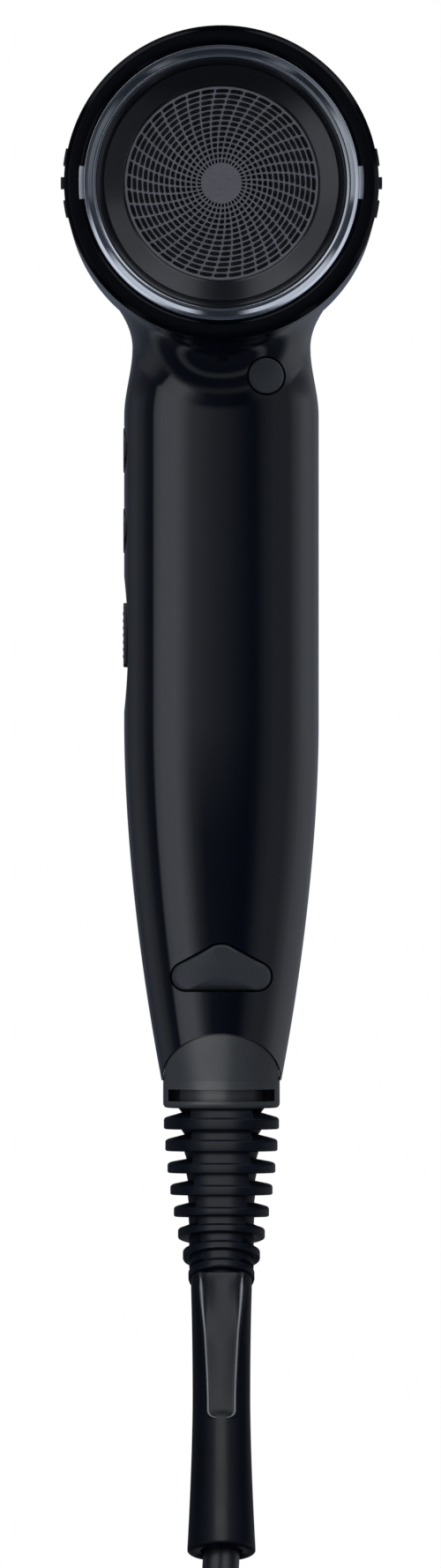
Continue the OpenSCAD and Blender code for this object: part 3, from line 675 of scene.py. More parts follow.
def hank_run(x, y, down):
    """One straight run, drawn towards the middle by the tie."""
    steps = 40
    pull = math.copysign(PINCH, HANK_Y - y)
    run = [Vector((x, y + pull * (1 - math.cos(TAU * k / steps)) / 2,
                   lerp(HANK_TOP, HANK_LOW, k / steps))) for k in range(steps + 1)]
    return run if down else run[::-1]


def hank_fold(x0, x1, y0, y1, height):
    """Half an ellipse from one run to the next; height is negative at the low end."""
    steps = 28
    middle, half = (y0 + y1) / 2, (y0 - y1) / 2
    z = HANK_TOP if height > 0 else HANK_LOW
    return [Vector((lerp(x0, x1, smooth(k / steps)), middle + half * math.cos(math.pi * k / steps),
                    z + height * math.sin(math.pi * k / steps))) for k in range(1, steps)]


def hank_line():
    """The hank's runs and folds, in three layers side by side."""
    wide, tall = FOLD_R + CORD_D, FOLD_R + 2 * CORD_D
    rear_out, rear_in, front_in, front_out = (HANK_Y + k for k in (-wide, -FOLD_R, FOLD_R, wide))
    x, y = -CORD_D, rear_out
    line = hank_run(x, y, True)
    for next_x, next_y, height in (
            (-CORD_D, front_out, -wide), (-CORD_D, rear_in, wide), (-CORD_D, front_in, -FOLD_R),
            (0, rear_in, FOLD_R), (0, front_in, -FOLD_R), (0, rear_out, wide), (0, front_out, -wide),
            (CORD_D, rear_out, tall), (CORD_D, front_out, -wide), (CORD_D, rear_in, wide),
            (CORD_D, front_in, -FOLD_R)):
        line += hank_fold(x, next_x, y, next_y, height) + hank_run(next_x, next_y, height > 0)
        x, y = next_x, next_y
    return line


def make_cord():
    inside = [relief_point(RELIEF_LEN + SLEEVE_LEN - CORD_INSIDE + k) for k in range(CORD_INSIDE)]
    lead = curve_through(LEAD, 10)
    hank = hank_line()
    rise = math.hypot(PLUG_X - CORD_D, PLUG_Y - HANK_Y - FOLD_R) / 2
    tail, steps = [], 28
    for k in range(1, steps + 1):
        a = math.pi * k / steps
        share = (1 - math.cos(a)) / 2
        tail.append(Vector((lerp(CORD_D, PLUG_X, share), lerp(HANK_Y + FOLD_R, PLUG_Y, share),
                            HANK_TOP + rise * math.sin(a))))
    tail += curve_through([tail[-1]] + TAIL_END, 4)[1:]
    # the lead runs into the hank without a kink
    joint = curve_through([lead[-2], lead[-1], hank[0], hank[1]], 4)[5:8]
    line = inside + lead[:-1] + joint + hank + tail
    piece = tube("mains_cord", line, CORD_D / 2, 20)
    place_piece(piece, "dryer", "cord_pvc", "cord_lead", "cord_hank", "cord_tail")
    return piece, [p * MM for p in line]


# ---------- the form of the handle and the barrel ----------

def taper(z):
    return 0 if z >= TAPER_TOP else ((TAPER_TOP - z) / (TAPER_TOP + HANDLE_LOW)) ** 1.8


def grip_w(z):
    return (GRIP_HALF_W - (GRIP_HALF_W - TAIL_R) * taper(z)
            - (GRIP_HALF_W - NECK_HALF_W) * smooth((z - NECK_LOW) / (NECK_Z - NECK_LOW)))


def grip_d(z):
    return GRIP_HALF_D - (GRIP_HALF_D - TAIL_R) * taper(z)


def grip_point(a, z, inset):
    n = lerp(GRIP_N, 2, taper(z))
    return Vector(((grip_w(z) - inset) * super_power(math.cos(a), n),
                   (grip_d(z) - inset) * super_power(math.sin(a), n), z))


def saddle_z(a):
    return lerp(NECK_Z, FLARE_Z, math.sin(a) ** 2)


def foot_point(a, inset):
    x = (FOOT_X - inset) * super_power(math.cos(a), GRIP_N)
    y = (FOOT_Y - inset) * super_power(math.sin(a), GRIP_N)
    r = BARREL_R - SINK - inset
    return Vector((x, y, BARREL_Z - math.sqrt(r * r - x * x)))


def saddle_point(a, t, inset):
    """The saddle leaves the handle upwards and runs out along the barrel."""
    p, q, s = grip_point(a, saddle_z(a), inset), foot_point(a, inset), math.sin(a) ** 2
    out = Vector((q.x - p.x, q.y - p.y, 0)).normalized()
    normal = Vector((q.x, 0, q.z - BARREL_Z)).normalized()
    away = (out - normal * out.dot(normal)).normalized()
    up_pull, out_pull = Vector((0, 0, lerp(12, 23, s))), away * lerp(15, 21, s)
    t2, t3 = t * t, t * t * t
    return ((2 * t3 - 3 * t2 + 1) * p + (t3 - 2 * t2 + t) * up_pull
            + (3 * t2 - 2 * t3) * q + (t3 - t2) * out_pull)


def handle_form(name, inset, sides, bottom, step, saddle_steps):
    """The handle and its saddle as one closed form."""
    top = 42
    angles = [TAU * i / sides for i in range(sides)]
    count = round((top - bottom) / step)
    rows = [[grip_point(a, lerp(bottom, top, k / count), inset) for a in angles] for k in range(count + 1)]
    lead_in = max(2, saddle_steps // 3)
    rows += [[grip_point(a, lerp(top, saddle_z(a), k / lead_in), inset) for a in angles]
             for k in range(1, lead_in + 1)]
    rows += [[saddle_point(a, k / saddle_steps, inset) for a in angles] for k in range(1, saddle_steps + 1)]
    feet = [foot_point(a, inset) for a in angles]
    rows.append([Vector((0.7 * q.x, 0.9 * q.y, BARREL_Z - 20)) for q in feet])
    return make(name, *loft(rows))


def barrel_edge(y):
    return BARREL_R - (BARREL_R - MOUTH_R) * max(0, (y - TAPER_Y) / (BARREL_FRONT - TAPER_Y)) ** 2


def barrel_form(name, y0, y1, inset, sides, steps):
    ys = [y0 + (y1 - y0) * k / steps for k in range(steps + 1)]
    profile = [(0, 0)] + [(barrel_edge(min(y, BARREL_FRONT)) - inset, y - y0) for y in ys] + [(0, y1 - y0)]
    return make(name, *revolved(profile, sides), on_barrel(y0))


def arch_outline(grow):
    """The outline below the end collar's arched edge, in X and Z: a half ellipse on straight sides."""
    half, rise, steps = ARCH_HALF + grow, ARCH_FOOT - ARCH_TOP + grow, 48
    bottom = -HANDLE_LOW - 10
    arch = [(half * math.cos(math.pi * k / steps), -ARCH_FOOT + rise * math.sin(math.pi * k / steps))
            for k in range(steps + 1)]
    return [(-half, bottom), (half, bottom)] + arch


def through_y(name, outline, y0, y1):
    """An outline in X and Z drawn from y0 to y1."""
    return prism(name, outline, -y1, -y0, on_rear(0, 0, 0))


def triangle_outline(grow):
    """Rounded triangle, apex up, as its three corner arcs."""
    r, apex_r, steps = 3, 4.5, 10
    base, side, top = TRI_LOW + r, TRI_HALF - r, TRI_TOP - apex_r
    lean = math.degrees(math.atan2(top - base, side)
                        + math.asin((apex_r - r) / math.hypot(side, top - base)))
    return (arc(side, base, r + grow, -90, 90 - lean, steps)
            + arc(0, top, apex_r + grow, 90 - lean, 90 + lean, steps)
            + arc(-side, base, r + grow, 90 + lean, 270, steps))


def drum_cutter():
    """The shallow drum that cuts the finger scoop round the slide switch."""
    radius = (SCOOP_LEN ** 2 / 4 + SCOOP_DEPTH ** 2) / (2 * SCOOP_DEPTH)
    reach = math.degrees(math.asin(0.6 * SCOOP_LEN / radius))
    drum = arc(SCOOP_DEPTH - GRIP_HALF_W - radius, SCOOP_Z, radius, -reach, reach, 48)
    outside = -GRIP_HALF_W - 5
    return through_y("scoop", [(outside, drum[0][1])] + drum + [(outside, drum[-1][1])], -15, 15)


def cylinder(name, r, h0, h1, place, sides=96):
    return prism(name, circle(0, 0, r, sides), h0, h1, place)


def ring_form(name, r_out, r_in, h0, h1, place, fillet=0.0, sides=160):
    return lathe(name, [(r_in, h0), (r_out, h0), (r_out, h1), (r_in, h1)], place, sides, fillet)


def boss_end(z):
    return 0.88 * grip_d(z)


OUTER_HANDLE = handle_form("outer_handle", 0, 224, -HANDLE_LOW, 1.6, 34)
OUTER_BARREL = barrel_form("outer_barrel", CAP_FRONT, BARREL_FRONT, 0, 256, 60)
SKIN = surface_tree(OUTER_HANDLE, OUTER_BARREL)
SKIN_TREE = SKIN[0]


def skin_y(x, z):
    """Y of the handle's rear surface at x and z."""
    place = SKIN_TREE.ray_cast(Vector((x * MM, -0.2, z * MM)), Vector((0, 1, 0)))[0]
    return place.y / MM


def make_housing():
    whole = fuse(copied(OUTER_HANDLE, "whole"), copied(OUTER_BARREL, "barrel"))
    inside = fuse(handle_form("inner_handle", WALL, 96, -HANDLE_LOW - 1, 4, 14),
                  barrel_form("inner_barrel", CAP_FRONT - 1, BARREL_FRONT - 3, WALL, 160, 24))
    cut(whole, inside, cylinder("mouth", OUTLET_R + 0.1, 0, 6, on_barrel(BARREL_FRONT - 4), 160),
        through_y("arch", arch_outline(GAP), -30, -3), through_y("arch", arch_outline(GAP), 3, 30),
        through_y("arch", arch_outline(0.02), -4, 4))
    front = copied(whole, "front_shell")
    rear = whole
    rear.name = "rear_shell"
    cut(rear, block("front_half", -60, 60, SEAM_Y - SEAM_GAP, 200, -200, 200))
    cut(front, block("rear_half", -60, 60, -200, SEAM_Y + SEAM_GAP, -200, 200))

    cut(rear, cylinder("cool_hole", COOL_R + GAP, 0, 30, on_rear(COOL_X, -11, COOL_Z)),
        through_y("triangle_hole", triangle_outline(GAP), -30, -8))
    for z in (TEMP_Z, SPEED_Z):
        cut(rear, cylinder("side_hole", SIDE_R + GAP, 0, 10, on_left(-15, z)))
    fuse(rear, block("scoop_backing", -GRIP_HALF_W + WALL - 0.1, -GRIP_HALF_W + WALL + 1.4,
                     -7.5, 7.5, SCOOP_Z - 17, SCOOP_Z + 17),
         ring_form("rear_lip", BARREL_IN + 0.2, BARREL_IN - 0.7, 0, 3, on_barrel(CAP_FRONT + 0.05)))
    cut(rear, drum_cutter(),
        block("knob_track", -GRIP_HALF_W - 3, SCOOP_DEPTH - GRIP_HALF_W, -4.62, 4.62,
              KNOB_Z - KNOB_LEN / 2 - KNOB_TRAVEL - 0.15, KNOB_Z + KNOB_LEN / 2 + 0.12),
        block("slot", -GRIP_HALF_W - 2, -GRIP_HALF_W + 6, -1.7, 1.7, KNOB_Z - 6, KNOB_Z + 4))
    fuse(front, ring_form("tongue", BARREL_IN + 0.2, BARREL_IN - 1.3, 1, 5, on_barrel(SEAM_Y)),
         ring_form("tongue_lip", BARREL_IN - 0.1, BARREL_IN - 1.3, -4, 1.1, on_barrel(SEAM_Y)))
    for x, z in SCREWS:
        reach = boss_end(z)
        fuse(front, cylinder("boss", 4, 0, reach - SEAM_Y - 0.1, on_rear(x, reach, z), 48))
    for x, z in SCREWS:
        cut(front, lathe("screw_hole", [(0, -40), (3.3, -40), (3, -grip_d(z) + 1.5, 0), (3, -12),
                                        (1.5, -12), (1.5, 0), (0, 0)], on_rear(x, 0, z), 48, 0))
    for obj in (rear, front):
        soften(obj, 30)
        take_normals(obj, SKIN)
    place_piece(rear, "dryer", "gloss_shell", "rear_housing")
    place_piece(front, "dryer", "gloss_shell", "front_housing")


# ---------- buttons ----------

def flush_button(name, outline, middle, deep_y, edge, dish=0.0):
    """A button whose face follows the handle's surface, with a rounded rim.

    The outline is in X and Z; the face runs in rings from the rim to the middle.
    """
    rows = [[Vector((x, deep_y, z)) for x, z in outline]]
    rim = [(1 - edge * (1 - math.cos(a)) / 4, edge * (1 - math.sin(a)))
           for a in (math.radians(d) for d in (20, 40, 60, 80))]
    for share, drop in [(1, edge)] + rim + [(f, 0) for f in (0.9, 0.75, 0.55, 0.35, 0.15)]:
        row = []
        for x, z in outline:
            px, pz = lerp(middle[0], x, share), lerp(middle[1], z, share)
            hollow = dish * (1 - share * share)
            row.append(Vector((px, skin_y(px, pz) + drop + hollow, pz)))
        rows.append(row)
    return make(name, *loft(rows))


def button_foot(r, place):
    """The flange that holds a button in, and its stem."""
    return lathe("foot", [(0, -4.5), (1.5, -4.5), (1.5, -1), (r, -1), (r, 0), (0, 0)], place, 64, 0.1)


def make_buttons():
    cool = flush_button("cool_shot_cap", circle(COOL_X, COOL_Z, COOL_R, 72), (COOL_X, COOL_Z),
                        -10.3, 0.5, 0.12)
    cool = joined("cool_shot_cap", cool, button_foot(COOL_R + 1, on_rear(COOL_X, -10.2, COOL_Z)))
    place_piece(cool, "cool_shot", "matte_grey", "cool_shot_button")

    ion = flush_button("ion_cap", triangle_outline(0), (0, -75), -7.1, 0.5)
    ion = joined("ion_cap", ion, button_foot(7, on_rear(0, -7, -75)))
    place_piece(ion, "ion", "matte_grey", "ion_button")

    proud, base = -low("temperature_button").x, 17.8
    face = proud - base
    for body, z in (("temperature", TEMP_Z), ("speed", SPEED_Z)):
        cap = lathe(body + "_cap",
                    [(0, 0), (SIDE_R, 0), (SIDE_R, face, 0.45), (SIDE_R - 1.1, face, 0.2),
                     (SIDE_R - 1.5, face - 0.3, 0.3), (0, face - 0.45)], on_left(-base, z), 96, 0.2)
        cap = joined(body + "_cap", cap, button_foot(SIDE_R + 1, on_left(-base, z)))
        place_piece(cap, body, "matte_black", body + "_button")


def make_knob():
    """The slide switch's knob: a rounded bar with fine grip ridges, and its stem."""
    outer, inner = low("slider_knob").x, high("slider_knob").x
    half_w, half_l, ridge, ridges = 4.5, KNOB_LEN / 2, 0.1, 7
    thick = SCOOP_DEPTH - GRIP_HALF_W - 0.03 - outer
    rows = []
    for inset, x in ((0.06, thick), (0, thick - 0.06), (0, ridge + 0.2), (0.08, ridge + 0.06), (0.25, ridge)):
        ring = rounded_box(half_l - inset, half_w - inset, 0.9 - inset, 6)
        rows.append([Vector((outer + x, y, KNOB_Z + z)) for z, y in ring])
    parts = [make("knob_plate", *loft(rows[::-1]))]
    for k in range(ridges):
        z = KNOB_Z + (k - (ridges - 1) / 2) * 1.55
        root = outer + ridge + 0.05
        bar = [(root, z + 0.4), (outer, z + 0.25), (outer, z - 0.25), (root, z - 0.4)]
        parts.append(through_y("ridge", bar, -3.5, 3.5))
    parts.append(block("stem", outer + 0.8, inner, -1.2, 1.2, KNOB_Z - 1.5, KNOB_Z + 1.5))
    knob = joined("slide_knob", *parts)
    soften(knob, 35)
    place_piece(knob, "power_slider", "matte_black", "slider_knob")


# ---------- filter cap ----------

def sector(name, angle, r_in, r_out, h0, h1, place, steps, fillet):
    """A rounded block bent round the Z axis, centred on +X."""
    profile = rounded([(r_in, h0), (r_out, h0), (r_out, h1), (r_in, h1)], fillet, 3)
    rows = []
    for k in range(steps + 1):
        a = math.radians(lerp(-angle / 2, angle / 2, k / steps))
        rows.append([Vector((r * math.cos(a), r * math.sin(a), h)) for r, h in profile])
    return make(name, *loft(rows[::-1]), place)


def make_cap():
    here = on_barrel(CAP_REAR)
    spigot = BARREL_IN - 1.1
    cap = lathe("cap_shell",
                [(30.4, 0, 0.25), (BARREL_R - 1, 0, 0.3), (BARREL_R, 1, 0.35), (BARREL_R, CAP_LEN - 0.3, 0.2),
                 (spigot, CAP_LEN - 0.3, 0.1), (spigot, CAP_LEN + 5.5, 0.3), (CAP_IN, CAP_LEN + 5.5),
                 (CAP_IN, 11, 0.1), (25, 11), (25, SHELF), (29.7, SHELF, 0.1), (29.7, 0.7, 0.2)],
                here, 256, 0.2)
    for a in (0, 180):
        turn = here @ turned(a)
        cut(cap, block("lug_slot", 29, 30.8, -3.6, 3.6, -1, 3, turn),
            sector("pad_recess", 25.4, BARREL_R - 0.5, BARREL_R + 1, 1.9, 10.1, turn, 24, 0.0))
    for a in (45, 135, 225, 315):
        cut(cap, cylinder("magnet_hole", 1, CAP_LEN - 2.3, CAP_LEN + 1,
                          here @ turned(a) @ at(BARREL_R - 1.5, 0, 0), 24))
    soften(cap, 30)
    place_piece(cap, "filter", "gloss_rim", "filter_cap")


def make_retaining_ring():
    here = on_barrel(CAP_REAR)
    parts = [lathe("cap_ring", [(CAP_IN, SHELF), (28.5, SHELF), (28.5, 3.2), (26.85, 3.2), (26.85, 1.75, 0.1),
                                (27, 1.5, 0.08), (27.45, 1.43, 0.06), (27.6, 1.7, 0.02), (28.66, 0.87, 0.03),
                                (29.42, 0.7, 0.1), (CAP_IN, 0.85)], here, 256, 0.05)]
    for a in (0, 180):
        parts.append(sector("lug", 13.4, 29.3, 30.7, 0.75, 2.9, here @ turned(a), 16, 0.3))
    ring = joined("cap_ring", *parts)
    place_piece(ring, "filter", "satin_ring", "retaining_ring")


def make_dish():
    dish = lathe("cap_dish",
                 [(26.8, SHELF), (26.8, 1.9, 0.1), (26.5, 1.8, 0.3), (25.7, 2.6, 0.5), (25.15, 4.0, 0.5),
                  (21.3, 5.45, 0.6), (20.9, 5.75, 0.2), (20.9, 6.8, 0.05),
                  (20.2, 6.8, 0.05), (20.2, 7.6, 0.1), (25.6, 5.9), (26.1, 5.7), (26.1, SHELF)],
                 on_barrel(CAP_REAR), 256, 0.2)
    place_piece(dish, "filter", "matte_black", "filter_dish")


GRILLE_ROWS = 14
GRILLE_COLUMNS = 40
GRILLE_HUB_R = 4.2
GRILLE_RIB = 0.37
GRILLE_T = 0.7
GRILLE_SWIRL = math.radians(15)


def make_grille():
    """The etched disc: rings of rounded slots round a plain hub, each ring turned a little further."""
    rim_r = DISC_R - 0.45
    pitch = (rim_r - GRILLE_HUB_R) / GRILLE_ROWS
    step = TAU / GRILLE_COLUMNS
    around = 16
    bevel = 0.07
    points, index, faces = [], {}, []

    def point(x, y, h):
        key = (round(x, 4), round(y, 4), round(h, 4))
        if key not in index:
            index[key] = len(points)
            points.append((x, y, h))
        return index[key]

    def polar(r, a, h):
        a += GRILLE_SWIRL * (r - GRILLE_HUB_R) / (DISC_R - GRILLE_HUB_R)
        return point(r * math.cos(a), r * math.sin(a), h)

    def square(i, half_r, half_a, r, a, corner):
        """Point i round a box in radius and angle, with round corners of that share."""
        t = TAU * i / around + TAU / 8
        c, s = math.cos(t), math.sin(t)
        size = max(abs(c), abs(s))
        u, v = c / size, s / size
        pull = min(1, lerp(1, 1 / math.hypot(u, v) * 1.18, corner))
        return r + half_r * u * pull, a + half_a * v * pull

    def skin(levels):
        """Faces between loops of points in radius and angle, each loop at its own height."""
        for (one, h0), (two, h1) in zip(levels, levels[1:]):
            for i in range(len(one)):
                j = (i + 1) % len(one)
                faces.append([polar(*one[j], h0), polar(*one[i], h0), polar(*two[i], h1), polar(*two[j], h1)])

    middles = [step * (column + 0.5) for column in range(GRILLE_COLUMNS)]
    half_r = (pitch - GRILLE_RIB) / 2
    for row in range(GRILLE_ROWS):
        r = GRILLE_HUB_R + pitch * (row + 0.5)
        half_a = max(step / 2 - GRILLE_RIB / r / 2, 0.12 / r)
        for a in middles:
            outer = [square(i, pitch / 2, step / 2, r, a, 0) for i in range(around)]
            wide = [square(i, half_r + bevel, half_a + bevel / r, r, a, 0.8) for i in range(around)]
            hole = [square(i, half_r, half_a, r, a, 0.8) for i in range(around)]
            skin([(outer, 0), (wide, 0), (hole, bevel), (hole, GRILLE_T), (outer, GRILLE_T)])

    box = [square(i, 1, 1, 0, 0, 0) for i in range(around)]
    rim = sorted(a + step / 2 * v for a in middles for u, v in box if u > 0.999 and v < 0.999)
    hub = sorted(a + step / 2 * v for a in middles for u, v in box if u < -0.999 and v > -0.999)
    skin([([(r, a) for a in rim], h) for r, h in (
        (rim_r, 0), (DISC_R - 0.1, 0), (DISC_R, 0.1), (DISC_R, GRILLE_T), (rim_r, GRILLE_T))])
    for h, order in ((0, -1), (GRILLE_T, 1)):
        faces.append([polar(GRILLE_HUB_R, a, h) for a in hub][::order])
    grille = make("filter_disc", points, faces, on_barrel(CAP_REAR + 6.1), 25)
    place_piece(grille, "filter", "etched_steel", "filter_grille")


def make_pads():
    here = on_barrel(CAP_REAR)
    parts = []
    for a in (0, 180):
        turn = here @ turned(a)
        parts.append(sector("pad", 25, BARREL_R - 0.5, BARREL_R + 0.05, 2, 10, turn, 40, 0.1))
        parts.append(sector("tooth", 4.1, BARREL_R - 0.2, BARREL_R + 0.75, 2.6, 9.4, turn, 12, 0.25))
        for b in (-9.45, 9.45):
            parts.append(sector("pad_block", 6.1, BARREL_R - 0.2, BARREL_R + 0.4, 2, 10,
                                turn @ turned(b), 16, 0.3))
    place_piece(joined("cap_finger_pads", *parts), "filter", "matte_black", "cap_pads")


# ---------- end collar, bend relief and sleeve ----------

def make_end_collar():
    """The collar in the handle's mouth: an arched upper edge, and below it a slot at the rear and front."""
    collar = handle_form("collar_shell", 0.3, 160, -HANDLE_LOW, 1.6, 14)
    source_form = copied(collar, "collar_source")
    lip = handle_form("collar_lip", 1.1, 96, -HANDLE_LOW, 3, 8)
    combine(collar, through_y("arch", arch_outline(0), -30, 30), "INTERSECT")
    combine(lip, through_y("arch", arch_outline(GAP - 0.03), -30, 30), "INTERSECT")
    fuse(collar, lip)
    foot = lathe("foot", [(0, -COLLAR_LOW), (COLLAR_R, -COLLAR_LOW, 1.1), (COLLAR_R, -COLLAR_LOW + 6.6),
                          (0, -COLLAR_LOW + 6.6)], Matrix(), 160)
    foot_source = copied(foot, "foot_source")
    fuse(collar, foot)
    slot = ring_form("slot", COLLAR_R + 2, 9.4, -COLLAR_LOW + 1.5, -COLLAR_LOW + 4.1, Matrix())
    combine(slot, block("slot_width", -11.5, 11.5, -20, 20, -COLLAR_LOW, -HANDLE_LOW), "INTERSECT")
    for side in (-1, 1):
        wedge = [(8.5 * side, -1), (12.8 * side, 6), (8.5 * side, 9)]
        cut(slot, prism("slot_end", wedge[::side], -COLLAR_LOW, -HANDLE_LOW))
    cut(collar, handle_form("collar_inside", WALL, 64, -HANDLE_LOW - 0.5, 6, 8), slot,
        cylinder("cord_hole", CORD_D / 2 + 0.3, -COLLAR_LOW - 1, -COLLAR_LOW + 19, Matrix(), 64))
    soften(collar, 30)
    take_normals(collar, surface_tree(source_form, foot_source))
    bpy.data.objects.remove(source_form)
    bpy.data.objects.remove(foot_source)
    place_piece(collar, "dryer", "soft_grey", "end_collar")


def core_radius(s):
    return 7 + 2.4 * max(0, 1 - s / RELIEF_LEN) ** 3


def rib_radius(i):
    return 12.5 - 0.25 * i - 0.073 * i * i


def relief_profile():
    """Rows of distance, radius at the sides and radius at the front and back.

    At the sides the ribs stand apart as discs; at the front and back a web joins each rib to the one
    above, stepping in under it.
    """
    rows = [(0, core_radius(0), rib_radius(0) - 1.2)]
    for i in range(RIBS):
        r, low_end = rib_radius(i), RIB_PITCH * i + 4.6
        top, slope = (low_end - 2.65, 0.95) if i < 2 else (low_end - 2.35, 0.7)
        core = core_radius(low_end)
        rows += [(top - slope, core, r - 0.5), (top - 0.15, r - 1.1, r - 0.5), (top + 0.05, r - 0.5, r - 0.4),
                 (top + 0.25, r - 0.2, r - 0.15), (top + 0.5, r - 0.04, r), (top + 0.7, r, r),
                 (low_end - 0.35, r, r), (low_end - 0.12, r - 0.1, r - 0.1), (low_end, r - 0.35, r - 0.35),
                 (low_end + 0.04, core, max(core, r - 1.5)), (low_end + 0.3, core, max(core, r - 1.45))]
    return rows[:-1] + [(RELIEF_LEN, core_radius(RELIEF_LEN), core_radius(RELIEF_LEN))]


def bent_at(s, a, radius):
    """A point square to the bent line at s, at the angle a from the rear."""
    along = (relief_point(s + 0.05) - relief_point(s - 0.05)).normalized()
    side = Vector((1, 0, 0))
    return relief_point(s) + radius * (side * math.sin(a) + along.cross(side) * math.cos(a))


def bent_ring(s, radius, sides):
    """A ring of such points; radius is a function of the angle from the rear."""
    return [bent_at(s, a, radius(a)) for a in (TAU * i / sides for i in range(sides))]


def make_relief():
    """The ribs, with webs that reach 0.6 radians to each side of the front and the back."""
    def web(a):
        return 1 - smooth((math.acos(min(1, abs(math.cos(a)))) - 0.6) / 0.08)

    rows = [bent_ring(s, lambda a: lerp(side_r, web_r, web(a)), 180) for s, side_r, web_r in relief_profile()]
    relief = make("ribbed_relief", *loft(rows), None, 40)
    place_piece(relief, "dryer", "soft_black", "bend_relief")


def sleeve_radius(u):
    """Radius at a share of the sleeve's length: narrowest at the waist, widest at the mouth."""
    waist = 0.45
    return 6.24 + (0.4 * (1 - u / waist) ** 2 if u < waist else 1.15 * ((u - waist) / (1 - waist)) ** 1.6)


def groove_half(s):
    """Half width of the sleeve's rear groove at the distance s down the sleeve."""
    corner = 1.9
    past = min(max(0, s - GROOVE_LEN + corner), corner)
    return lerp(4.05, 2.8, smooth(s / 33)) - corner + math.sqrt(corner ** 2 - past ** 2)


def sleeve_skin(s, a):
    """Radius of the sleeve: squarer at its top, with a groove at the rear between fine raised edges."""
    n = lerp(4.2, 2, smooth(s / 18))
    r = sleeve_radius(s / SLEEVE_LEN) * (abs(math.cos(a)) ** n + abs(math.sin(a)) ** n) ** (-1 / n)
    if math.cos(a) < 0.3 or s > 38:
        return r
    half = groove_half(s)
    across = abs(r * math.sin(a))
    depth = (lerp(0.95, 0.42, smooth(s / 26)) * lerp(0.3, 1, smooth(s / 4))
             * (1 - smooth((s - GROOVE_LEN + 2.5) / 2.5)))
    fine = smooth(s / 17)
    crest = (across - half - lerp(0.6, 0.18, fine)) / lerp(0.75, 0.27, fine)
    bead = (lerp(0.55, 0.28, fine) * math.exp(-crest ** 2) * (1 - smooth((s - GROOVE_LEN + 0.4) / 0.6))
            * smooth(s / 1.5))
    return r + bead - depth * max(0, 1 - (across / max(half, 0.1)) ** 2.6)


def make_sleeve():
    """The smooth sleeve: a neck under the last rib, a groove at the rear, and a mouth round the cord."""
    edge, neck, sides, start = 0.7, 5.6, 240, RELIEF_LEN - 0.1
    rows = [bent_ring(s, lambda _: neck, sides) for s in (start, start + 0.8)]
    for s in [1.0, 1.15, 1.4] + [2 + 0.5 * k for k in range(50)] + [27 + 0.2 * k for k in range(58)] \
            + [39 + k for k in range(24)]:
        r_drop = 0.3 if s < 1.1 else 0.08 if s < 1.3 else 0
        rows.append(bent_ring(start + min(s, SLEEVE_LEN - edge), lambda a: sleeve_skin(s, a) - r_drop, sides))
    end, r_end = RELIEF_LEN + SLEEVE_LEN, sleeve_radius(1)
    for a in (22, 45, 68, 90):
        a = math.radians(a)
        rows.append(bent_ring(end - edge + edge * math.sin(a) - 0.001,
                              lambda _: r_end - edge * (1 - math.cos(a)), sides))
    bore = CORD_D / 2 + 0.45
    for back, r in ((0.001, bore + 0.5), (0.35, bore + 0.08), (0.8, bore), (CORD_INSIDE, bore)):
        rows.append(bent_ring(end - back, lambda _: r, sides))
    sleeve = make("relief_sleeve_shell", *loft(rows), None, 40)
    place_piece(sleeve, "dryer", "soft_black", "relief_sleeve")

    # the fine raised bars along the groove's edges, in a lighter grey finish: a painted highlight for the
    # light caught on the groove's rounded edges
    steps = [2 + 0.77 * k for k in range(41)] + [GROOVE_LEN - 1.8 + 0.15 * k for k in range(13)]
    edges = []
    for side in (-1, 1):
        points, radii = [], []
        for s in steps:
            fine = smooth(s / 17)
            off = groove_half(s) + lerp(0.55, 0.12, fine)
            a = side * math.asin(off / sleeve_radius(s / SLEEVE_LEN))
            r = sleeve_skin(s, a)
            a = side * math.asin(min(1, off / r))
            radii.append(lerp(0.5, 0.26, fine) * (1 - 0.6 * smooth(s - GROOVE_LEN + 1))
                         * lerp(0.3, 1, smooth((s - 2) / 3)))
            points.append(bent_at(start + s, a, sleeve_skin(s, a) + lerp(-0.25, 0, fine)))
        edges.append(tube("painted_highlight_bar", points, radii, 16))
    place_piece(joined("painted_highlight_bars", *edges), "dryer", "matte_grey", "relief_sleeve")


# ---------- outlet ----------

def make_outlet():
    inside, bore, neck_r = 6, 22, OUTLET_R - 0.4
    end = inside + OUTLET_LEN
    collar = lathe("outlet_tube",
                   [(bore, 0), (neck_r, 0), (neck_r, 0.4), (OUTLET_R + 0.8, 0.4), (OUTLET_R + 0.8, 2.8),
                    (neck_r, 2.8), (neck_r, 6.3, 0.05), (OUTLET_R, 6.3, 0.15), (OUTLET_R, end - 0.8, 0.4),
                    (OUTLET_R - 0.8, end, 0.4), (bore + 0.6, end, 0.25), (bore, end - 0.6, 0.25)],
                   on_barrel(BARREL_FRONT - inside), 224, 0.1)
    place_piece(collar, "dryer", "heat_black", "outlet_collar")

    here = on_barrel(low("outlet_grille").y)
    grille = ring_form("outlet_mesh", 21.95, 20.6, 0, 3, here, 0.2, 160)
    for r in (6.5, 10.2, 13.9, 17.6):
        fuse(grille, ring_form("hoop", r + 0.5, r - 0.5, 0, 2, here, 0.2, 120))
    fuse(grille, lathe("grille_hub", [(0, 0), (3, 0), (3, 2, 0.4), (0, 2.2)], here, 64, 0.2))
    for k in range(6):
        fuse(grille, block("spoke", 2.5, 21.1, -0.6, 0.6, 0.2, 1.8, here @ turned(60 * k)))
    soften(grille, 30)
    place_piece(grille, "dryer", "heat_black", "outlet_grille")


# ---------- plug and tie ----------

def stadium(half_x, half_y):
    """Outline of a rounded slot along Y."""
    return (arc(0, half_y - half_x, half_x, 0, 180, 20) + arc(0, half_x - half_y, half_x, 180, 360, 20))


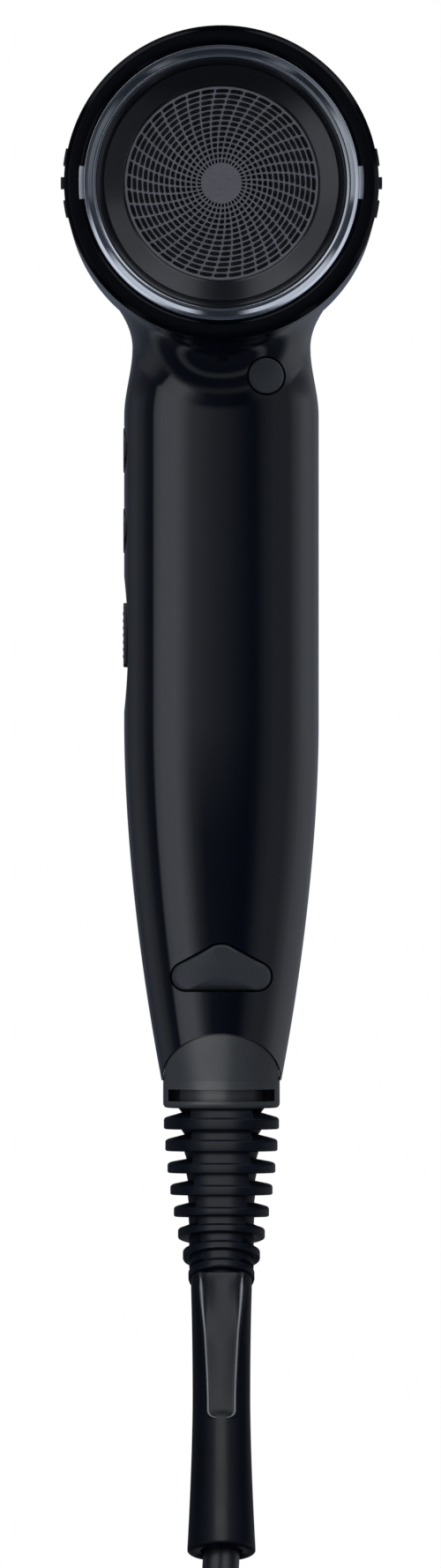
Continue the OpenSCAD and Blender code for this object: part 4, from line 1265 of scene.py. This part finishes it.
def make_plug():
    """The moulded plug: a flat-sided grip that draws in to a ribbed cord relief."""
    height = PLUG_TOP - PLUG_LOW
    levels = [(10.2, 17.2, 0), (10.8, 17.8, 0.35), (11, 18, 1), (11, 18, 8), (10.6, 17.6, 8.6),
              (10.6, 17.6, 9.4), (11, 18, 10), (11, 18, 18.6), (10.7, 17.2, 19.6), (10.3, 15.5, 20.6),
              (9.6, 12.6, 23), (8.8, 10.3, 26), (8, 8.6, 29.5), (7.2, 7.3, 33), (6.6, 6.6, 34.4)]
    for k in range(5):
        h = 35 + 3.2 * k
        r = 6.4 - 0.28 * k
        levels += [(r, r, h), (r, r, h + 1.9), (r - 0.7, r - 0.7, h + 2.15), (r - 0.7, r - 0.7, h + 2.95)]
    levels += [(5, 5, height - 0.9), (4.7, 4.7, height - 0.3), (4.4, 4.4, height)]
    here = at(PLUG_X, PLUG_Y, PLUG_LOW)
    rows = [[Vector((x, y, h)) for x, y in stadium(a, max(a, b))] for a, b, h in levels]
    body = make("plug_moulding", *loft(rows), here, 40)
    for side in (-1, 1):
        for k in range(5):
            h = 11.6 + 1.3 * k
            cut(body, block("grip", -11.25, 11.25, -7, 7, h, h + 0.55, here @ at(side * 21.9, 0, 0)))
    soften(body, 35)
    place_piece(body, "dryer", "cord_pvc", "plug_body")

    parts = []
    for side in (-1, 1):
        place = at(PLUG_X, PLUG_Y + side * PIN_GAP / 2, low("plug_pins").z)
        parts.append(lathe("pin", [(0, 0), (PIN_R - 1, 0, 0.5), (PIN_R, 1.2, 0.5), (PIN_R, 19), (0, 19)],
                           place, 64, 0.1))
    place_piece(joined("plug_contacts", *parts), "dryer", "nickel", "plug_pins")


def make_tie():
    """The strap that holds the hank, with its lapped end."""
    lo, hi = low("hank_tie"), high("hank_tie")
    middle_y, middle_z = (lo.y + hi.y) / 2, (lo.z + hi.z) / 2
    half_x, half_y, wide = hi.x - 0.15, (hi.y - lo.y) / 2 - 0.15, (hi.z - lo.z) / 2
    thick = 1.35
    rings = []
    for inset, z in ((thick, -wide + 0.3), (thick - 0.3, -wide), (0.3, -wide), (0, -wide + 0.3),
                     (0, wide - 0.3), (0.3, wide), (thick - 0.3, wide), (thick, wide - 0.3)):
        ring = rounded_box(half_x - inset, half_y - inset, max(3.2 - inset, 0.5), 8)
        rings.append([Vector((x, y + middle_y, z + middle_z)) for x, y in ring])
    n = len(rings[0])
    points = [p for ring in rings for p in ring]
    faces = [[j * n + i, j * n + (i + 1) % n, ((j + 1) % 8) * n + (i + 1) % n, ((j + 1) % 8) * n + i]
             for j in range(8) for i in range(n)]
    strap = make("hank_strap", points, [f[::-1] for f in faces], None, 40)
    lap = block("lap", -half_x + 4, half_x - 5, middle_y - half_y - 0.15, middle_y - half_y + 0.9,
                middle_z - wide + 1, middle_z + wide - 1)
    strap = joined("hank_strap", strap, lap)
    soften(strap, 35)
    place_piece(strap, "dryer", "soft_black", "hank_tie")


# ---------- pieces that keep the CAD shape ----------

def dress_kept_parts():
    slots = {row["node"]: row["material_slot"] for row in frame["record"]["subparts"]}
    for node, obj in frame["nodes"].items():
        if not obj.hide_render:
            dress(obj, slots[node])
            soften(obj, 30)


# ---------- studio ----------

def make_floor():
    """A wide pale floor under the lowest piece."""
    mesh = bpy.data.meshes.new("floor")
    z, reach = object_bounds()[0].z - 0.001, 4
    mesh.from_pydata([(-reach, -reach, z), (reach, -reach, z), (reach, reach, z), (-reach, reach, z)],
                     [], [(0, 1, 2, 3)])
    floor = bpy.data.objects.new("floor", mesh)
    bpy.context.scene.collection.objects.link(floor)
    tree, shader = node_tree("floor")
    feed(tree, shader, {"Base Color": tinted(tree, ranged(tree, noise_of(tree, 2)), (0.86,) * 3, (0.9,) * 3),
                        "Roughness": 0.9})
    mesh.materials.append(MATERIALS["floor"])
    floor.visible_glossy = False


# The studio's brightness by the bearing round the object, in degrees from the camera's side
# (right positive): at and above the middle of the view, and below it.
STUDIO_HIGH = [(-180, 0.1), (-139, 0.12), (-122, 0.26), (-112, 0.32), (-98, 0.28), (-88, 0.14), (-75, 0.08),
               (-71, 0.9), (-60, 1.25), (-40, 1.35), (-32, 1.1), (-22, 0.62), (-12, 0.5), (0, 0.3),
               (8, 0.18), (20, 0.07), (27, 0.06), (36, 0.2), (48, 0.3), (74, 0.3), (84, 0.55),
               (100, 0.8), (112, 0.75), (135, 0.35), (180, 0.1)]
STUDIO_LOW = [(-180, 0.1), (-139, 0.12), (-122, 0.26), (-112, 0.32), (-98, 0.28), (-88, 0.12), (-75, 0.06),
              (-71, 0.9), (-60, 1.2), (-40, 1.3), (-32, 0.9), (-22, 0.32), (-12, 0.1), (0, 0.07),
              (8, 0.05), (20, 0.04), (27, 0.08), (36, 0.22), (48, 0.32), (70, 0.32), (80, 0.45),
              (100, 0.7), (118, 0.6), (140, 0.35), (180, 0.1)]
# Two soft boxes above the camera's sides with a dark slot between them, and the panel overhead.
STUDIO_UPPER = [(-180, 0.1), (-62, 0.1), (-50, 0.95), (-13, 0.95), (-9, 0.04), (9, 0.04), (13, 0.95),
                (50, 0.95), (62, 0.1), (180, 0.1)]
STUDIO_TOP = [(-180, 0.1), (-105, 0.1), (-85, 1.5), (-17, 1.5), (-12, 0.05), (9, 0.05), (14, 1.5), (85, 1.5),
              (105, 0.1), (180, 0.1)]
# Below the view: dark, with a thin bright strip low down. The stops are the sine of the height.
STUDIO_DEEP = [(-1, 0.06), (-0.88, 0.05), (-0.83, 0.35), (-0.8, 0.35), (-0.76, 0.05), (-0.58, 0.06),
               (-0.45, 0.32), (1, 0.32)]

# Each band of bearings, with the sines of the heights between which it takes over from the one below.
STUDIO_BANDS = [(STUDIO_LOW, -0.5, -0.38), (STUDIO_HIGH, -0.1, 0.03), (STUDIO_UPPER, 0.12, 0.18),
                (STUDIO_TOP, 0.5, 0.62)]
# How far a dim panel's red, green and blue are shifted, and the dark slot overhead.
COOL_TINT = (-0.22, -0.04, 0.3)
SLOT_COLOUR = (0.04, 0.05, 0.065, 1)


def make_studio():
    """Soft panels all round and an overhead panel; the camera sees plain white behind the object."""
    scene = bpy.context.scene
    scene.view_settings.view_transform = "Standard"
    world = bpy.data.worlds.new("studio")
    world.use_nodes = True
    scene.world = world
    tree = world.node_tree
    generated = tree.nodes.new("ShaderNodeTexCoord").outputs["Generated"]
    east, north, height = add(tree, "SeparateXYZ", {"Vector": generated}).outputs
    bearing = maths(tree, "ARCTAN2", east, maths(tree, "MULTIPLY", north, -1))
    along = ranged(tree, bearing, 0, 1, -math.pi, math.pi)

    def panels(stops, across=along, start=-180, span=360):
        """Brightness across the stops, bluer where it is dim."""
        colours = []
        for stop, value in stops:
            cool = max(0.3, 1 - value / 0.45)
            colours.append(((stop - start) / span, [value * (1 + tint * cool) for tint in COOL_TINT]))
        return ramp(tree, across, colours)

    level = panels(STUDIO_DEEP, ranged(tree, height, 0, 1, -1, 1), -1, 2)
    for stops, lower, upper in STUDIO_BANDS:
        level = mixed(tree, ranged(tree, height, 0, 1, lower, upper), level, panels(stops))
    slope = maths(tree, "ABSOLUTE", maths(tree, "DIVIDE", east, height))
    overhead = mixed(tree, ranged(tree, slope, 0, 1, 0.13, 0.24), SLOT_COLOUR, level)
    level = mixed(tree, ranged(tree, height, 0, 1, 0.12, 0.2), level, overhead)
    background = tree.nodes["Background"]
    feed(tree, background, {"Color": level})
    seen = add(tree, "Background", {"Color": (1, 1, 1, 1)})
    rays = tree.nodes.new("ShaderNodeLightPath")
    mix = add(tree, "MixShader", {"Fac": rays.outputs["Is Camera Ray"], 1: background.outputs["Background"],
                                  2: seen.outputs["Background"]})
    feed(tree, tree.nodes["World Output"], {"Surface": mix.outputs["Shader"]})


def make_soft_box(name, pieces, energy, wide, tall, place, aim):
    """A soft box on the camera's side, in metres and watts, that lights only the named matte pieces."""
    data = bpy.data.lights.new(name, "AREA")
    data.shape = "RECTANGLE"
    data.size, data.size_y, data.energy = wide, tall, energy
    light = bpy.data.objects.new(name, data)
    light.location = place
    light.rotation_euler = (Vector(aim) - Vector(place)).to_track_quat("-Z", "Y").to_euler()
    light.visible_camera = False
    bpy.context.scene.collection.objects.link(light)
    lit = bpy.data.collections.new(name)
    for piece in pieces:
        lit.objects.link(bpy.data.objects[piece])
    light.light_linking.receiver_collection = lit


# ---------- assembly ----------

cord, cord_path = make_cord()
make_housing()
make_buttons()
make_knob()
make_cap()
make_retaining_ring()
make_dish()
make_grille()
make_pads()
make_end_collar()
make_relief()
make_sleeve()
make_outlet()
make_plug()
make_tie()
dress_kept_parts()
for form in (OUTER_HANDLE, OUTER_BARREL):
    bpy.data.objects.remove(form)

make_floor()
make_studio()
make_soft_box("collar_light", ["collar_shell"], energy=23, wide=1.4, tall=0.8,
              place=(-0.45, -1, -0.1), aim=(-0.1, 0, -0.1))
make_soft_box("relief_light", ["ribbed_relief"], energy=48, wide=1.4, tall=1.7,
              place=(-0.12, -1, 0.3), aim=(-0.05, 0, 0.25))
make_soft_box("sleeve_light", ["relief_sleeve_shell", "painted_highlight_bars"], energy=24, wide=0.72, tall=1.1,
              place=(-0.05, -0.85, 0.55), aim=(0, -0.02, -0.16))
